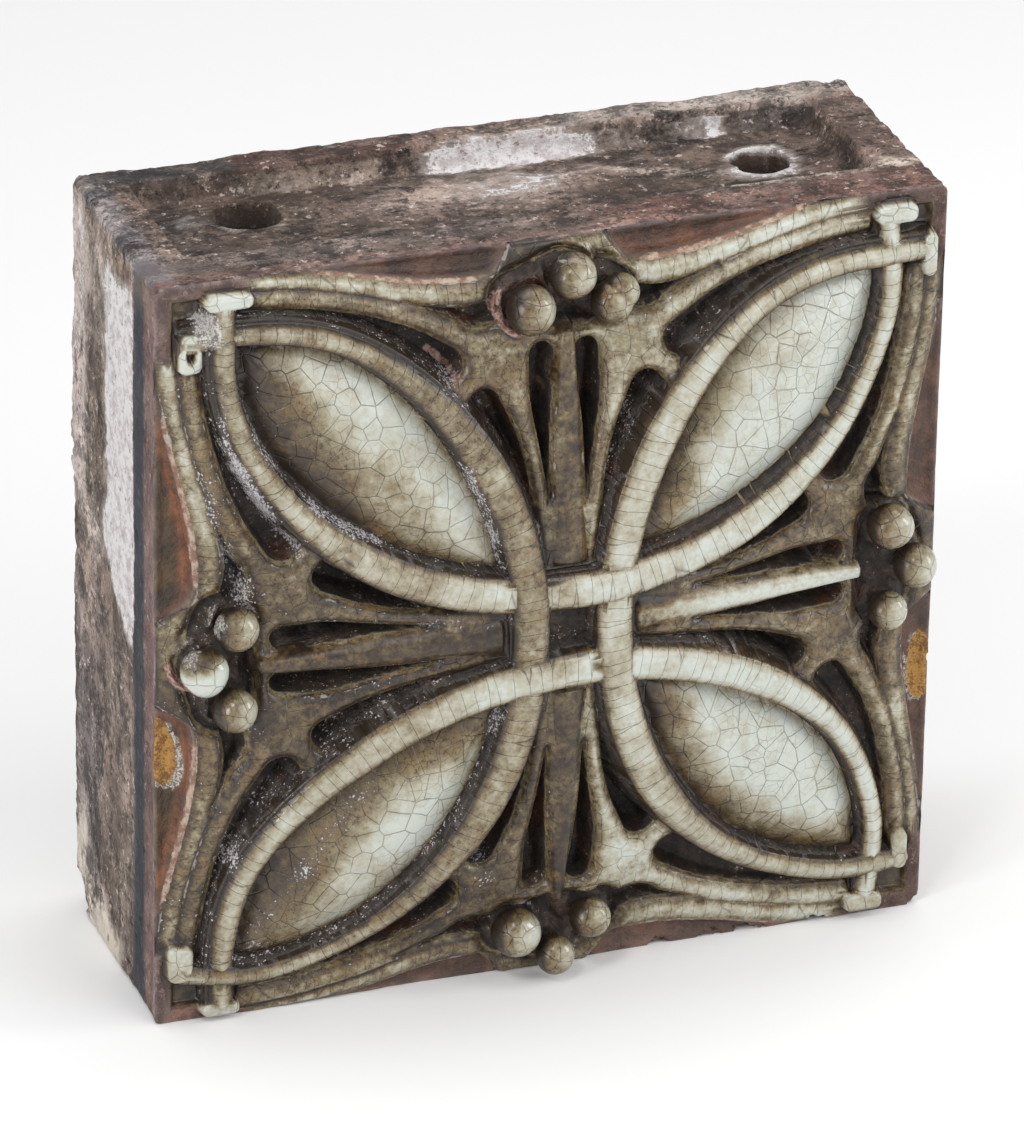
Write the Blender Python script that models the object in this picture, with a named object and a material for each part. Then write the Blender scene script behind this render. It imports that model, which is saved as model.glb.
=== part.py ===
"""Glazed terracotta facade block, built as a clay presser would make it: one
hollow piece, open at the back, with a wall between two cells, a shallow pocket
with two anchor holes in the top bed, and a cushioned face of four interlacing
arcs, four almond petals, four stalks and twelve berries.

Metres, +Z up.  The decorated face looks towards -Y, the block stands on its
bottom bed, and the origin is at the middle of the bounding box's underside.
"""
import math

import bmesh
import bpy
import numpy as np
from mathutils import Matrix, Vector

NAME = "facade_block"

# ---- overall sizes ---------------------------------------------------------
WIDTH = 0.400            # nominal sixteen inches less a mortar joint
HEIGHT = 0.394           # the same, six brick courses high
DEPTH = 0.140            # back to the flat margin of the face
RELIEF_MAX = 0.0332      # how far the boldest carving stands off the margin
MARGIN_Y = -(DEPTH - RELIEF_MAX) / 2      # the margin's plane
BACK_Y = MARGIN_Y + DEPTH

# ---- shell, cells, pocket and holes ---------------------------------------
SHELL_SIDE = 0.026
SHELL_FACE = 0.036       # from the margin's plane to the cells
SHELL_BOTTOM = 0.027
SHELL_TOP = 0.041        # over the cells, before the pocket is sunk
WEB = 0.028              # wall between the two cells
CELL_DRAFT = 0.004       # the cells widen this much towards the back
CELL_ROUND = 0.010
POCKET_X = 0.176         # half length of the pocket's mouth
POCKET_Y = (0.031, 0.120)  # behind the margin's plane
POCKET_DEPTH = 0.014
POCKET_SLOPE = 0.007     # how far its walls lean in
HOLES = ((-0.124, 0.0955, 0.0155), (0.134, 0.080, 0.0145))   # x, behind margin, radius

# ---- carving: fractions of the width, from the middle of the face ----------
HALF_H = HEIGHT / WIDTH / 2
DOME, DOME_POWER, DOME_BASE = 0.0786, 2.85, 0.0014    # the cushion
ARC_CENTRE, ARC_HALF_SPAN, ARC_RISE = 0.398, 0.4228, 0.3455
ARC_WIDE, ARC_NARROW = 0.0190, 0.0098    # half width of an arc at its middle and at the corners
ARC_LEDGE = 0.0205       # the half that faces left or up keeps a ledge this far out
LEDGED = {"top": -1, "left": 1, "right": 1, "bottom": -1}
CORNER_LIFT = 0.012
ARC_END = ((0.4215, 0.430), (0.4195, 0.455), (0.4185, 0.472))
CROSSING, CORNER_CROSSING = 0.050, 0.413
WEAVE, CORNER_WEAVE = 0.0035, 0.0022
PETAL_DROP, PETAL_SINK, PETAL_HALF = 0.006, 0.034, 0.080
PLATE_SHARE, PLATE_BASE = 0.70, 0.002
WELL_FLOOR = -0.010
MARGIN_FRAME = 0.020
CORNER_SINK = 0.010
# wells of one half side: along the side, out from the middle, radius
WELL_STALK = ((.029, .352, .0195), (.031, .300, .0165), (.029, .250, .0105), (.024, .170, .002))
WELL_LEG = ((.103, .296, .024), (.088, .250, .028), (.070, .205, .022), (.050, .140, .008), (.042, .092, .003))
WELL_BRANCH = ((.150, .352, .026), (.245, .401, .0245), (.350, .434, .0135), (.402, .443, .008))
WELL_TIP = ((.075, .415, .018), (.110, .408, .016), (.140, .4165, .0075), (.200, .4365, .001))
NICHE = ((0.0, .430, .050), (.055, .423, .038))
STALK_BUTT, STALK_TIP, STALK_HALF, STALK_TIP_HALF = 0.083, 0.385, 0.0285, 0.0090
STALK_LOW_TIP_HALF = 0.0055      # the bottom stalk tapers most
STALK_TOP, STALK_FALL = 0.067, 0.083
# berries: x, w, radius, height of the centre; the fourth is a bulge on the third
BERRIES = ((-.0459, .4199, .0281, .040), (.0057, .4578, .0281, .040), (.0557, .4177, .0265, .040),
           (.0690, .4310, .0200, .040),
           (-.4103, .0536, .0265, .040), (-.4497, .0011, .0300, .038), (-.4124, -.0549, .0275, .040),
           (-.0484, -.4202, .0262, .040), (.0018, -.4575, .0250, .040), (.0465, -.4131, .0255, .040),
           (.4246, .0638, .0285, .040), (.4587, .0055, .0273, .040), (.4250, -.0507, .0245, .040))
BERRY_BED = 0.012        # how far the niche's floor rises towards them
# caps on the arcs' ends: x, w, half lengths, height
CAPS = ((-.4120, .4675, .0295, .0110, .020), (-.4635, .4100, .0135, .0260, .020), (.4290, .4690, .0270, .0120, .020),
        (.4740, .4100, .0095, .0290, .020), (-.4680, -.4050, .0120, .0250, .018), (-.4200, -.4740, .0240, .0100, .018),
        (.4660, -.4110, .0085, .0245, .018), (.4160, -.4710, .0250, .0115, .018))
CAP_R = 0.010
CENTRE_FLOOR = 0.046     # the small square well in the middle of the face
# the piece warped a little in the kiln
WARP = (0.0045, -0.008, -0.0126, 0.0025, 0.0200, -0.121)

# ---- mesh density ----------------------------------------------------------
GRID = 232               # cells along the face before it is thinned
KEEP = 0.074             # share of the triangles kept


# ---------------------------------------------------------------------------
def smooth(t):
    t = np.clip(t, 0.0, 1.0)
    return t * t * (3.0 - 2.0 * t)


def cushion(x, w):
    a = np.clip(1.0 - np.abs(2 * x) ** DOME_POWER, 0, 1)
    b = np.clip(1.0 - np.abs(2 * w) ** DOME_POWER, 0, 1)
    return DOME * a * b + DOME_BASE


def arc_half(t):
    """Half the width of an arc's rounded body: it narrows towards the corners."""
    return ARC_WIDE - (ARC_WIDE - ARC_NARROW) * smooth((t - 0.22) / 0.185)


def unwarp(x, w):
    g = np.clip(1 - np.abs(2 * x) ** 4, 0, 1) * np.clip(1 - np.abs(2 * w) ** 4, 0, 1)
    a, b, c, d, e, f = WARP
    return x - g * (a + b * w + c * x * w), w - g * (d + e * x + f * x * w)


def chain(s, r, knots):
    """Signed distance to a run of round-ended tapering strokes."""
    best = np.full(s.shape, 9.0)
    for (s0, r0, a0), (s1, r1, a1) in zip(knots[:-1], knots[1:]):
        ds, dr = s1 - s0, r1 - r0
        t = np.clip(((s - s0) * ds + (r - r0) * dr) / (ds * ds + dr * dr), 0, 1)
        best = np.minimum(best, np.hypot(s - s0 - t * ds, r - r0 - t * dr) - a0 - t * (a1 - a0))
    return best


def branch_line(s):
    u = s - 0.25
    return 0.4416 + 0.3215 * u - 1.037 * u * u - 0.80 * u ** 3


def outer_line(s):
    u = s - 0.25
    return 0.4603 + 0.2326 * u + 0.054 * u * u - 3.9 * u ** 3


def arc_knots(n=30):
    out = []
    for i in range(n + 1):
        t = 0.5 * math.pi * i / n
        out.append((ARC_HALF_SPAN * math.sin(t), ARC_CENTRE - ARC_RISE * math.cos(t)))
    return out + list(ARC_END)


def arc_distance(s, r):
    """Distance to an arc's centre line, negative on the side it opens to."""
    t = np.abs(s)
    best = np.full(t.shape, 9.0)
    knots = arc_knots()
    for (a, b), (c, d) in zip(knots[:-1], knots[1:]):
        ds, dr = c - a, d - b
        u = np.clip(((t - a) * ds + (r - b) * dr) / (ds * ds + dr * dr), 0, 1)
        best = np.minimum(best, np.hypot(t - a - u * ds, r - b - u * dr))
    low = (r < ARC_CENTRE) & ((t / ARC_HALF_SPAN) ** 2 + ((r - ARC_CENTRE) / ARC_RISE) ** 2 < 1)
    high = (r >= ARC_CENTRE) & (t < ARC_HALF_SPAN - 0.058 * (r - ARC_CENTRE))
    return np.where(low | high, -best, best)


def relief(x, w):
    """Height of the carving in front of the margin, in block widths."""
    raw_x, raw_w = x, w
    x, w = unwarp(x, w)
    lift = cushion(x, w)
    ax, aw = np.abs(x), np.abs(w)
    upright = aw >= ax
    t = np.where(upright, ax, aw)
    r = np.where(upright, aw, ax)
    edge = np.where(upright, HALF_H, 0.5)
    lowest = upright & (w < 0)

    # the plate that the wells are cut through, with rounded shoulders
    plate = PLATE_SHARE * lift + PLATE_BASE
    wells = np.minimum.reduce([chain(t, r, k) for k in (WELL_STALK, WELL_LEG, WELL_BRANCH, WELL_TIP)])
    niche = chain(t, r, NICHE)
    well = np.minimum(wells, niche)
    low_rim = np.where(lowest & (x < 0), 0.009 * smooth((t - 0.13) / 0.11), 0.0)
    tc = np.clip(t, 0.18, 0.42)
    seam = np.where(t > 0.19, np.abs(r - low_rim - 0.5 * (branch_line(tc) + outer_line(tc))), 9.0)
    rim = outer_line(np.clip(t, 0.09, 0.42)) + 0.014 + low_rim
    rim = np.where(t < 0.09, rim + 0.075 * smooth((0.09 - t) / 0.06), rim)
    inside = rim - r
    e = np.minimum(np.minimum(well, inside), seam + 0.002)
    h = plate - 0.0065 * (1 - np.clip(e / 0.0135, 0, 1)) ** 2
    near_ball = np.minimum.reduce([np.hypot(raw_x - bx, raw_w - bw) - rad for bx, bw, rad, up in BERRIES])
    floor = WELL_FLOOR + (niche < wells) * (0.010 * smooth(-niche / 0.02) + BERRY_BED * smooth(1 - near_ball / 0.020))
    k = smooth(-well / 0.012)
    h = h * (1 - k) + floor * k
    scoop = -0.0075 * smooth((0.345 - t) / 0.11) * smooth((t - 0.05) / 0.05) * (0.25 + 0.75 * smooth((edge - r) / 0.014))
    k = smooth(-inside / 0.008)
    h = h * (1 - k) + scoop * k

    # sunk squares inside the frame's corners
    inset = np.minimum(0.5 - ax, HALF_H - aw) - MARGIN_FRAME
    h = np.where((ax > 0.395) & (aw > 0.395), -CORNER_SINK * smooth(inset / 0.006), h)

    # stalks
    along = np.clip((r - STALK_BUTT) / (STALK_TIP - STALK_BUTT), 0, 1)
    half = STALK_HALF + (np.where(lowest, STALK_LOW_TIP_HALF, STALK_TIP_HALF) - STALK_HALF) * along
    q = np.minimum(t / half, 1)
    d = np.hypot(np.maximum(t - half, 0), np.maximum(np.maximum(STALK_BUTT + 0.006 - r, r - STALK_TIP + 0.006), 0))
    stalk = (STALK_TOP - STALK_FALL * (r - 0.08) - 0.80 * half * (1 - np.sqrt(1 - 0.95 * q * q))
             - np.clip(d, 0, 0.004) - np.clip(d - 0.004, 0, 9) * 3.5)
    h = np.maximum(h, stalk)
    h = np.where((ax < 0.036) & (aw < 0.036), np.minimum(h, CENTRE_FLOOR), h)

    # berries
    for bx, bw, rad, up in BERRIES:
        d = np.hypot(raw_x - bx, raw_w - bw)
        ball = np.where(d < rad, up + np.sqrt(np.clip(rad ** 2 - d * d, 0, 1)), up - (d - rad) * 5)
        h = np.maximum(h, ball)

    # the four arcs, woven over and under each other
    high = lift + CORNER_LIFT * smooth((np.minimum(ax, aw) - 0.26) / 0.14)
    over = {"top": (1, 1), "right": (1, -1), "bottom": (-1, -1), "left": (-1, 1)}
    corner_over = {(-1, 1): "top", (1, 1): "right", (1, -1): "right", (-1, -1): "left"}
    sides = {"top": (x, w), "right": (w, x), "bottom": (x, -w), "left": (w, -x)}
    dist, bands = {}, np.full(x.shape, -9.0)
    for side, (s, rr) in sides.items():
        d = arc_distance(s, rr)
        dist[side] = d
        a = np.abs(d)
        weave = np.zeros(x.shape)
        for sx in (-1, 1):
            for sw in (-1, 1):
                near = np.exp(-((x - CROSSING * sx) ** 2 + (w - CROSSING * sw) ** 2) / (2 * 0.022 ** 2))
                mine = {"top": sw > 0, "bottom": sw < 0, "right": sx > 0, "left": sx < 0}[side]
                if mine:
                    weave += WEAVE * near * (1 if over[side] == (sx, sw) else -1)
                near = np.exp(-((x - CORNER_CROSSING * sx) ** 2 + (w - CORNER_CROSSING * sw) ** 2)
                              / (2 * 0.02 ** 2))
                weave += CORNER_WEAVE * near * (1 if corner_over[(sx, sw)] == side else -1)
        hw = arc_half(np.abs(s))
        ledged = (d > 0) & (s * LEDGED[side] > 0)
        end = np.where(ledged, np.maximum(hw + 0.0045, ARC_LEDGE), hw + 0.0045)
        ledge = smooth((end - hw - 0.0045) / 0.006)
        band = (high + weave - 0.0042 * smooth((a - hw + 0.0085) / 0.0085) - 0.0015 * smooth((a - hw) / 0.002)
                - ledge * 0.0030 * smooth((a - hw) / 0.0035) - np.clip(a - end, 0, 9) * 3.5)
        bands = np.maximum(bands, np.where((rr > 0.474) | (np.abs(s) > 0.45), -1.0, band))

    # pillowed petals between the arcs
    for sx in (-1, 1):
        for sw in (-1, 1):
            dv = -dist["top" if sw > 0 else "bottom"] - arc_half(ax)
            dh = -dist["right" if sx > 0 else "left"] - arc_half(aw)
            e = np.minimum(dv, dh)
            m = (x * sx > 0) & (w * sw > 0) & (e > -0.010) & (ax < 0.425) & (aw < 0.425)
            pillow = high - PETAL_DROP - PETAL_SINK * (1 - np.clip(e / PETAL_HALF, 0, 1.05)) ** 2
            h = np.where(m, pillow, h)
    h = np.maximum(h, bands)

    # small rounded caps on the arcs' ends
    for cx, cw, lx, lw, top in CAPS:
        d = np.hypot(np.maximum(np.abs(x - cx) - lx + CAP_R, 0), np.maximum(np.abs(w - cw) - lw + CAP_R, 0))
        low = top - CAP_R * 0.8
        cap = np.where(d < CAP_R, low + 0.8 * np.sqrt(np.clip(CAP_R ** 2 - d * d, 0, 1)), low - (d - CAP_R) * 5)
        h = np.maximum(h, cap)
    return h


# ---------------------------------------------------------------------------
def clear_scene():
    for ob in list(bpy.data.objects):
        bpy.data.objects.remove(ob, do_unlink=True)
    for col in list(bpy.data.collections):
        bpy.data.collections.remove(col)


def collection(name):
    col = bpy.data.collections.new(name)
    bpy.context.scene.collection.children.link(col)
    return col


def add_object(bm, name, col):
    mesh = bpy.data.meshes.new(name)
    bmesh.ops.recalc_face_normals(bm, faces=bm.faces)
    bm.to_mesh(mesh)
    bm.free()
    ob = bpy.data.objects.new(name, mesh)
    col.objects.link(ob)
    return ob


def carved_body(col):
    """The solid block: a carved front sheet drawn back to the rear plane."""
    bm = bmesh.new()
    bmesh.ops.create_grid(bm, x_segments=GRID, y_segments=GRID, size=0.5)
    co = np.array([v.co[:] for v in bm.verts])
    x, w = co[:, 0], co[:, 1] * 2 * HALF_H
    h = np.minimum(relief(x, w) * WIDTH, RELIEF_MAX)
    for v, a, b, c in zip(bm.verts, x * WIDTH, MARGIN_Y - h, (w + HALF_H) * WIDTH):
        v.co = (a, b, c)
    rim = [e for e in bm.edges if e.is_boundary]
    drawn = bmesh.ops.extrude_edge_only(bm, edges=rim)["geom"]
    for v in (g for g in drawn if isinstance(g, bmesh.types.BMVert)):
        v.co.y = BACK_Y
    bmesh.ops.holes_fill(bm, edges=[e for e in bm.edges if e.is_boundary], sides=0)
    bmesh.ops.triangulate(bm, faces=[f for f in bm.faces if len(f.verts) > 4])
    return add_object(bm, NAME, col)


def thinned(ob, col):
    """Fewer triangles, with the beds, ends and back kept true."""
    thin = ob.modifiers.new("thin", "DECIMATE")
    thin.decimate_type = "COLLAPSE"
    thin.ratio = KEEP
    thin.use_collapse_triangulate = True
    graph = bpy.context.evaluated_depsgraph_get()
    mesh = bpy.data.meshes.new_from_object(ob.evaluated_get(graph))
    near = 0.0004
    for v in mesh.vertices:
        x, y, z = v.co
        if abs(abs(x) - WIDTH / 2) < near:
            x = math.copysign(WIDTH / 2, x)
        z = 0.0 if z < near else HEIGHT if z > HEIGHT - near else z
        y = BACK_Y if y > BACK_Y - near else max(y, MARGIN_Y - RELIEF_MAX)
        v.co = (x, y, z)
    bpy.data.objects.remove(ob, do_unlink=True)
    mesh.name = NAME
    ob = bpy.data.objects.new(NAME, mesh)
    col.objects.link(ob)
    return ob


def cutter(name, col, corners_low, corners_high, bevel=0.0, axis="z"):
    """A box whose two ends may differ: a tapering block, rounded along its length."""
    (x0, y0, z0), (x1, y1, z1) = corners_low[0], corners_low[1]
    bm = bmesh.new()
    bmesh.ops.create_cube(bm, size=1.0)
    for v in bm.verts:
        near = {"z": v.co.z, "y": v.co.y}[axis] < 0
        lo, hi = corners_low if near else corners_high
        v.co = Vector([hi[i] if v.co[i] > 0 else lo[i] for i in range(3)])
    if bevel:
        along = [e for e in bm.edges
                 if abs((e.verts[0].co - e.verts[1].co).normalized()[{"z": 2, "y": 1}[axis]]) > 0.9]
        bmesh.ops.bevel(bm, geom=along, offset=bevel, segments=3, profile=0.5, affect="EDGES")
    ob = add_object(bm, name, col)
    ob.display_type = "WIRE"
    ob.hide_render = True
    return ob


def round_cutter(name, col, centre, radius, z0, z1):
    bm = bmesh.new()
    bmesh.ops.create_cone(bm, cap_ends=True, segments=48, radius1=radius, radius2=radius, depth=z1 - z0,
                          matrix=Matrix.Translation((centre[0], centre[1], (z0 + z1) / 2)))
    ob = add_object(bm, name, col)
    ob.display_type = "WIRE"
    ob.hide_render = True
    return ob


def wedge_cutter(name, col, place, turn, size):
    """A turned cube that knocks a broken corner or edge off the block."""
    bm = bmesh.new()
    rot = Matrix.Rotation(math.radians(turn[2]), 4, "Z") @ Matrix.Rotation(math.radians(turn[1]), 4, "Y") \
        @ Matrix.Rotation(math.radians(turn[0]), 4, "X")
    bmesh.ops.create_cube(bm, size=1.0, matrix=Matrix.Translation(place) @ rot @ Matrix.Diagonal((*size, 1.0)))
    ob = add_object(bm, name, col)
    ob.display_type = "WIRE"
    ob.hide_render = True
    return ob


def subtract(body, tool):
    m = body.modifiers.new("cut_" + tool.name, "BOOLEAN")
    m.operation = "DIFFERENCE"
    m.solver = "EXACT"
    m.object = tool


def material(name, colour, rough):
    mat = bpy.data.materials.new(name)
    mat.use_nodes = True
    bsdf = mat.node_tree.nodes["Principled BSDF"]
    bsdf.inputs["Base Color"].default_value = (*colour, 1.0)
    bsdf.inputs["Roughness"].default_value = rough
    bsdf.inputs["Metallic"].default_value = 0.0
    mat.diffuse_color = (*colour, 1.0)
    return mat


def main():
    clear_scene()
    parts = collection(NAME)
    tools = collection("cutters")
    body = carved_body(parts)
    body.data.materials.append(material("glazed_terracotta", (0.52, 0.47, 0.36), 0.38))

    body = thinned(body, parts)

    cell_x = (WEB / 2, WIDTH / 2 - SHELL_SIDE)
    cell_z = (SHELL_BOTTOM, HEIGHT - SHELL_TOP)
    y0, y1 = MARGIN_Y + SHELL_FACE, BACK_Y + 0.010
    for side, sign in (("left", -1), ("right", 1)):
        xs = sorted((sign * cell_x[0], sign * cell_x[1]))
        g = CELL_DRAFT
        cell = cutter("cell_" + side, tools,
                      ((xs[0] + g, y0, cell_z[0] + g), (xs[1] - g, y0, cell_z[1])),
                      ((xs[0], y1, cell_z[0]), (xs[1], y1, cell_z[1])),
                      bevel=CELL_ROUND, axis="y")
        subtract(body, cell)

    py0, py1 = MARGIN_Y + POCKET_Y[0], MARGIN_Y + POCKET_Y[1]
    s, up = POCKET_SLOPE, 0.010
    grow = s * up / POCKET_DEPTH
    pocket = cutter("top_pocket", tools,
                    ((-POCKET_X + s, py0 + s, HEIGHT - POCKET_DEPTH), (POCKET_X - s, py1 - s, HEIGHT - POCKET_DEPTH)),
                    ((-POCKET_X - grow, py0 - grow, HEIGHT + up), (POCKET_X + grow, py1 + grow, HEIGHT + up)),
                    bevel=0.006, axis="z")
    subtract(body, pocket)
    for i, (hx, hy, hr) in enumerate(HOLES):
        hole = round_cutter("anchor_hole_%d" % (i + 1), tools, (hx, MARGIN_Y + hy), hr,
                            HEIGHT - SHELL_TOP - 0.012, HEIGHT + 0.004)
        subtract(body, hole)

    # what the block has lost: a lower back corner, a nick in the back edge, a front corner
    for name, place, turn, size in (
            ("lost_back_corner", (-WIDTH / 2, BACK_Y + 0.006, 0.000), (38, 0, 24), (0.070, 0.040, 0.052)),
            ("lost_back_edge", (-WIDTH / 2 - 0.002, BACK_Y + 0.002, 0.105), (0, 0, 52), (0.020, 0.018, 0.250)),
            ("lost_back_nick", (-0.148, BACK_Y + 0.002, HEIGHT + 0.002), (0, 45, 0), (0.016, 0.018, 0.016)),
            ("lost_front_corner", (WIDTH / 2 + 0.005, MARGIN_Y - 0.004, -0.004), (0, 42, 0), (0.020, 0.060, 0.026))):
        subtract(body, wedge_cutter(name, tools, place, turn, size))


main()
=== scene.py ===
import math

import bmesh
import bpy
import numpy as np
from mathutils import Matrix, Vector


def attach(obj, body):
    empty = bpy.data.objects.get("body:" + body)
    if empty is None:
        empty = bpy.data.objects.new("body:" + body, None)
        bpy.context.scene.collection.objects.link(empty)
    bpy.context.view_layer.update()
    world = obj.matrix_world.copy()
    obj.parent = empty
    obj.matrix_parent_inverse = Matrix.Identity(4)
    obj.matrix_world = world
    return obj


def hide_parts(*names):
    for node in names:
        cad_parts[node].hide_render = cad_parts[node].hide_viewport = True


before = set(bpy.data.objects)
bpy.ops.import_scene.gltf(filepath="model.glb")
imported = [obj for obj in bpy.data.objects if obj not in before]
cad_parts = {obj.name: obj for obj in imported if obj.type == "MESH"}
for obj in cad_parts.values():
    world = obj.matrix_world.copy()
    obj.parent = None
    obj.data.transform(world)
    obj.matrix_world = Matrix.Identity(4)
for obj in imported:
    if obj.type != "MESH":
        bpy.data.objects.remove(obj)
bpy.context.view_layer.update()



# ---- sizes, in metres ------------------------------------------------------
WIDTH, HEIGHT, DEPTH, RELIEF_MAX = 0.400, 0.394, 0.140, 0.0332
MARGIN_Y = -(DEPTH - RELIEF_MAX) / 2
BACK_Y = MARGIN_Y + DEPTH
H2 = HEIGHT / WIDTH / 2
SKIN = 0.0002            # the visual model stays this far inside the solid's box

# ---- carving: fractions of the width, from the middle of the face ----------
DOME, DOME_POWER, DOME_BASE = 0.0786, 2.85, 0.0014
ARC_CENTRE, ARC_HALF_SPAN, ARC_RISE = 0.398, 0.4228, 0.3455
ARC_WIDE, ARC_NARROW, ARC_LEDGE = 0.0190, 0.0098, 0.0205
CORNER_LIFT = 0.012
ARC_END = ((.4215, .43), (.4195, .455), (.4185, .472))
WARP = (0.0045, -0.008, -0.0126, 0.0025, 0.0200, -0.121)
OVER = {"top": (1, 1), "right": (1, -1), "bottom": (-1, -1), "left": (-1, 1)}
CORNER_OVER = {(-1, 1): "top", (1, 1): "right", (1, -1): "right", (-1, -1): "left"}


# ============================================================================
# numbers
def smooth(t):
    t = np.clip(t, 0.0, 1.0)
    return t * t * (3.0 - 2.0 * t)


def step(t, a, b):
    return smooth((t - a) / (b - a))


GRADIENTS = np.array([(1, 1, 0), (-1, 1, 0), (1, -1, 0), (-1, -1, 0), (1, 0, 1), (-1, 0, 1), (1, 0, -1), (-1, 0, -1),
                      (0, 1, 1), (0, -1, 1), (0, 1, -1), (0, -1, -1), (1, 1, 0), (-1, 1, 0), (0, -1, 1), (0, -1, -1)],
                     np.float32)


def noise(p, scale, seed=0):
    """Gradient noise, about -1 to 1; p is (n, 3) in metres and scale is features per metre."""
    q = (p * scale + 37.17 * (seed + 1)).astype(np.float32)
    i = np.floor(q)
    f = q - i
    i = i.astype(np.int64)
    u = f * f * f * (f * (f * 6 - 15) + 10)
    out = np.zeros(len(q), np.float32)
    for c in range(8):
        o = np.array((c & 1, c >> 1 & 1, c >> 2 & 1))
        k = i + o
        n = (k[:, 0] * 374761393 + k[:, 1] * 668265263 + k[:, 2] * 1440662683 + seed * 974634777) & 0xFFFFFFFF
        n = ((n ^ (n >> 13)) * 1274126177) & 0xFFFFFFFF
        g = GRADIENTS[(n ^ (n >> 16)) & 15]
        w = np.prod(np.where(o == 1, u, 1 - u), axis=1)
        out += w * np.einsum("ij,ij->i", g, f - o)
    return out


def fbm(p, scale, octaves=3, seed=0):
    total, amp = 0.0, 1.0
    for k in range(octaves):
        total = total + amp * noise(p, scale * 2.03 ** k, seed + 11 * k)
        amp *= 0.5
    return total


def cushion(x, w):
    a = np.clip(1.0 - np.abs(2 * x) ** DOME_POWER, 0, 1)
    b = np.clip(1.0 - np.abs(2 * w) ** DOME_POWER, 0, 1)
    return DOME * a * b + DOME_BASE


def arc_half(t):
    """Half the width of an arc's rounded body: it narrows towards the corners."""
    return ARC_WIDE - (ARC_WIDE - ARC_NARROW) * step(t, 0.22, 0.405)


def unwarp(x, w):
    g = np.clip(1 - np.abs(2 * x) ** 4, 0, 1) * np.clip(1 - np.abs(2 * w) ** 4, 0, 1)
    a, b, c, d, e, f = WARP
    return x - g * (a + b * w + c * x * w), w - g * (d + e * x + f * x * w)


def warp(x, w):
    """The inverse of unwarp, by repetition."""
    u, v = x, w
    for _ in range(6):
        p, q = unwarp(u, v)
        u, v = u + (x - p), v + (w - q)
    return u, v


def spline(points, n=6):
    p = np.array(points, float)
    q = np.vstack([2 * p[0] - p[1], p, 2 * p[-1] - p[-2]])
    out = []
    for i in range(1, len(q) - 2):
        for k in range(n):
            t = k / n
            a, b, c, d = q[i - 1], q[i], q[i + 1], q[i + 2]
            out.append(0.5 * (2 * b + (c - a) * t + (2 * a - 5 * b + 4 * c - d) * t * t
                              + (3 * b - a - 3 * c + d) * t ** 3))
    out.append(p[-1])
    return [tuple(o) for o in out]


def chain(s, r, knots):
    """Signed distance to a run of round-ended tapering strokes."""
    best = np.full(s.shape, 9.0)
    for (s0, r0, a0), (s1, r1, a1) in zip(knots[:-1], knots[1:]):
        ds, dr = s1 - s0, r1 - r0
        t = np.clip(((s - s0) * ds + (r - r0) * dr) / (ds * ds + dr * dr), 0, 1)
        best = np.minimum(best, np.hypot(s - s0 - t * ds, r - r0 - t * dr) - a0 - t * (a1 - a0))
    return best


def branch_line(s):
    u = s - 0.25
    return 0.4416 + 0.3215 * u - 1.037 * u * u - 0.80 * u ** 3


def outer_line(s):
    u = s - 0.25
    return 0.4603 + 0.2326 * u + 0.054 * u * u - 3.9 * u ** 3


ARC_KNOTS = [(ARC_HALF_SPAN * math.sin(t), ARC_CENTRE - ARC_RISE * math.cos(t))
             for t in np.linspace(0, math.pi / 2, 34)] + list(ARC_END)


def arc_distance(s, r):
    """Distance to an arc's centre line (negative on the side it opens to) and length along it."""
    t = np.abs(s)
    best = np.full(t.shape, 9.0)
    along = np.zeros(t.shape)
    run = 0.0
    for (a, b), (c, d) in zip(ARC_KNOTS[:-1], ARC_KNOTS[1:]):
        ds, dr = c - a, d - b
        ll = math.hypot(ds, dr)
        u = np.clip(((t - a) * ds + (r - b) * dr) / (ll * ll), 0, 1)
        dist = np.hypot(t - a - u * ds, r - b - u * dr)
        near = dist < best
        best = np.where(near, dist, best)
        along = np.where(near, run + u * ll, along)
        run += ll
    low = (r < ARC_CENTRE) & ((t / ARC_HALF_SPAN) ** 2 + ((r - ARC_CENTRE) / ARC_RISE) ** 2 < 1)
    high = (r >= ARC_CENTRE) & (t < ARC_HALF_SPAN - 0.058 * (r - ARC_CENTRE))
    return np.where(low | high, -best, best), along * np.sign(s)


WELL_STALK = spline([(.0285, .352, .0185), (.031, .30, .0165), (.029, .25, .0105), (.026, .205, .006), (.024, .165, .002)], 4)
WELL_LEG = spline([(.103, .296, .024), (.088, .250, .028), (.070, .205, .022), (.056, .16, .013), (.047, .125, .0065), (.041, .09, .004)], 4)
WELL_BRANCH = spline([(.150, .352, .026), (.195, .378, .027), (.245, .401, .0245), (.30, .422, .018), (.35, .434, .0135), (.402, .443, .008)], 4)
WELL_TIP = spline([(.075, .415, .018), (.11, .408, .016), (.14, .4165, .0075), (.17, .4255, .004), (.20, .4365, .001)], 4)
NICHE = [(0, .43, .050), (.055, .423, .040)]

# each berry: where its centre is on the face, radius, height of its centre; the fourth is a bulge on the third
BERRIES = (
    (-0.0459, 0.4199, 0.0300, 0.039), (0.0057, 0.4578, 0.0281, 0.040), (0.0557, 0.4177, 0.0265, 0.040),
    (0.0668, 0.4288, 0.0225, 0.0405),
    (-0.4103, 0.0536, 0.0265, 0.040), (-0.4497, 0.0011, 0.0300, 0.038), (-0.4124, -0.0549, 0.0275, 0.040),
    (-0.0484, -0.4202, 0.0300, 0.037), (0.0018, -0.4575, 0.0250, 0.040), (0.0465, -0.4131, 0.0255, 0.040),
    (0.4246, 0.0638, 0.0285, 0.040), (0.4587, 0.0055, 0.0273, 0.040), (0.4250, -0.0507, 0.0245, 0.040),
)
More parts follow.
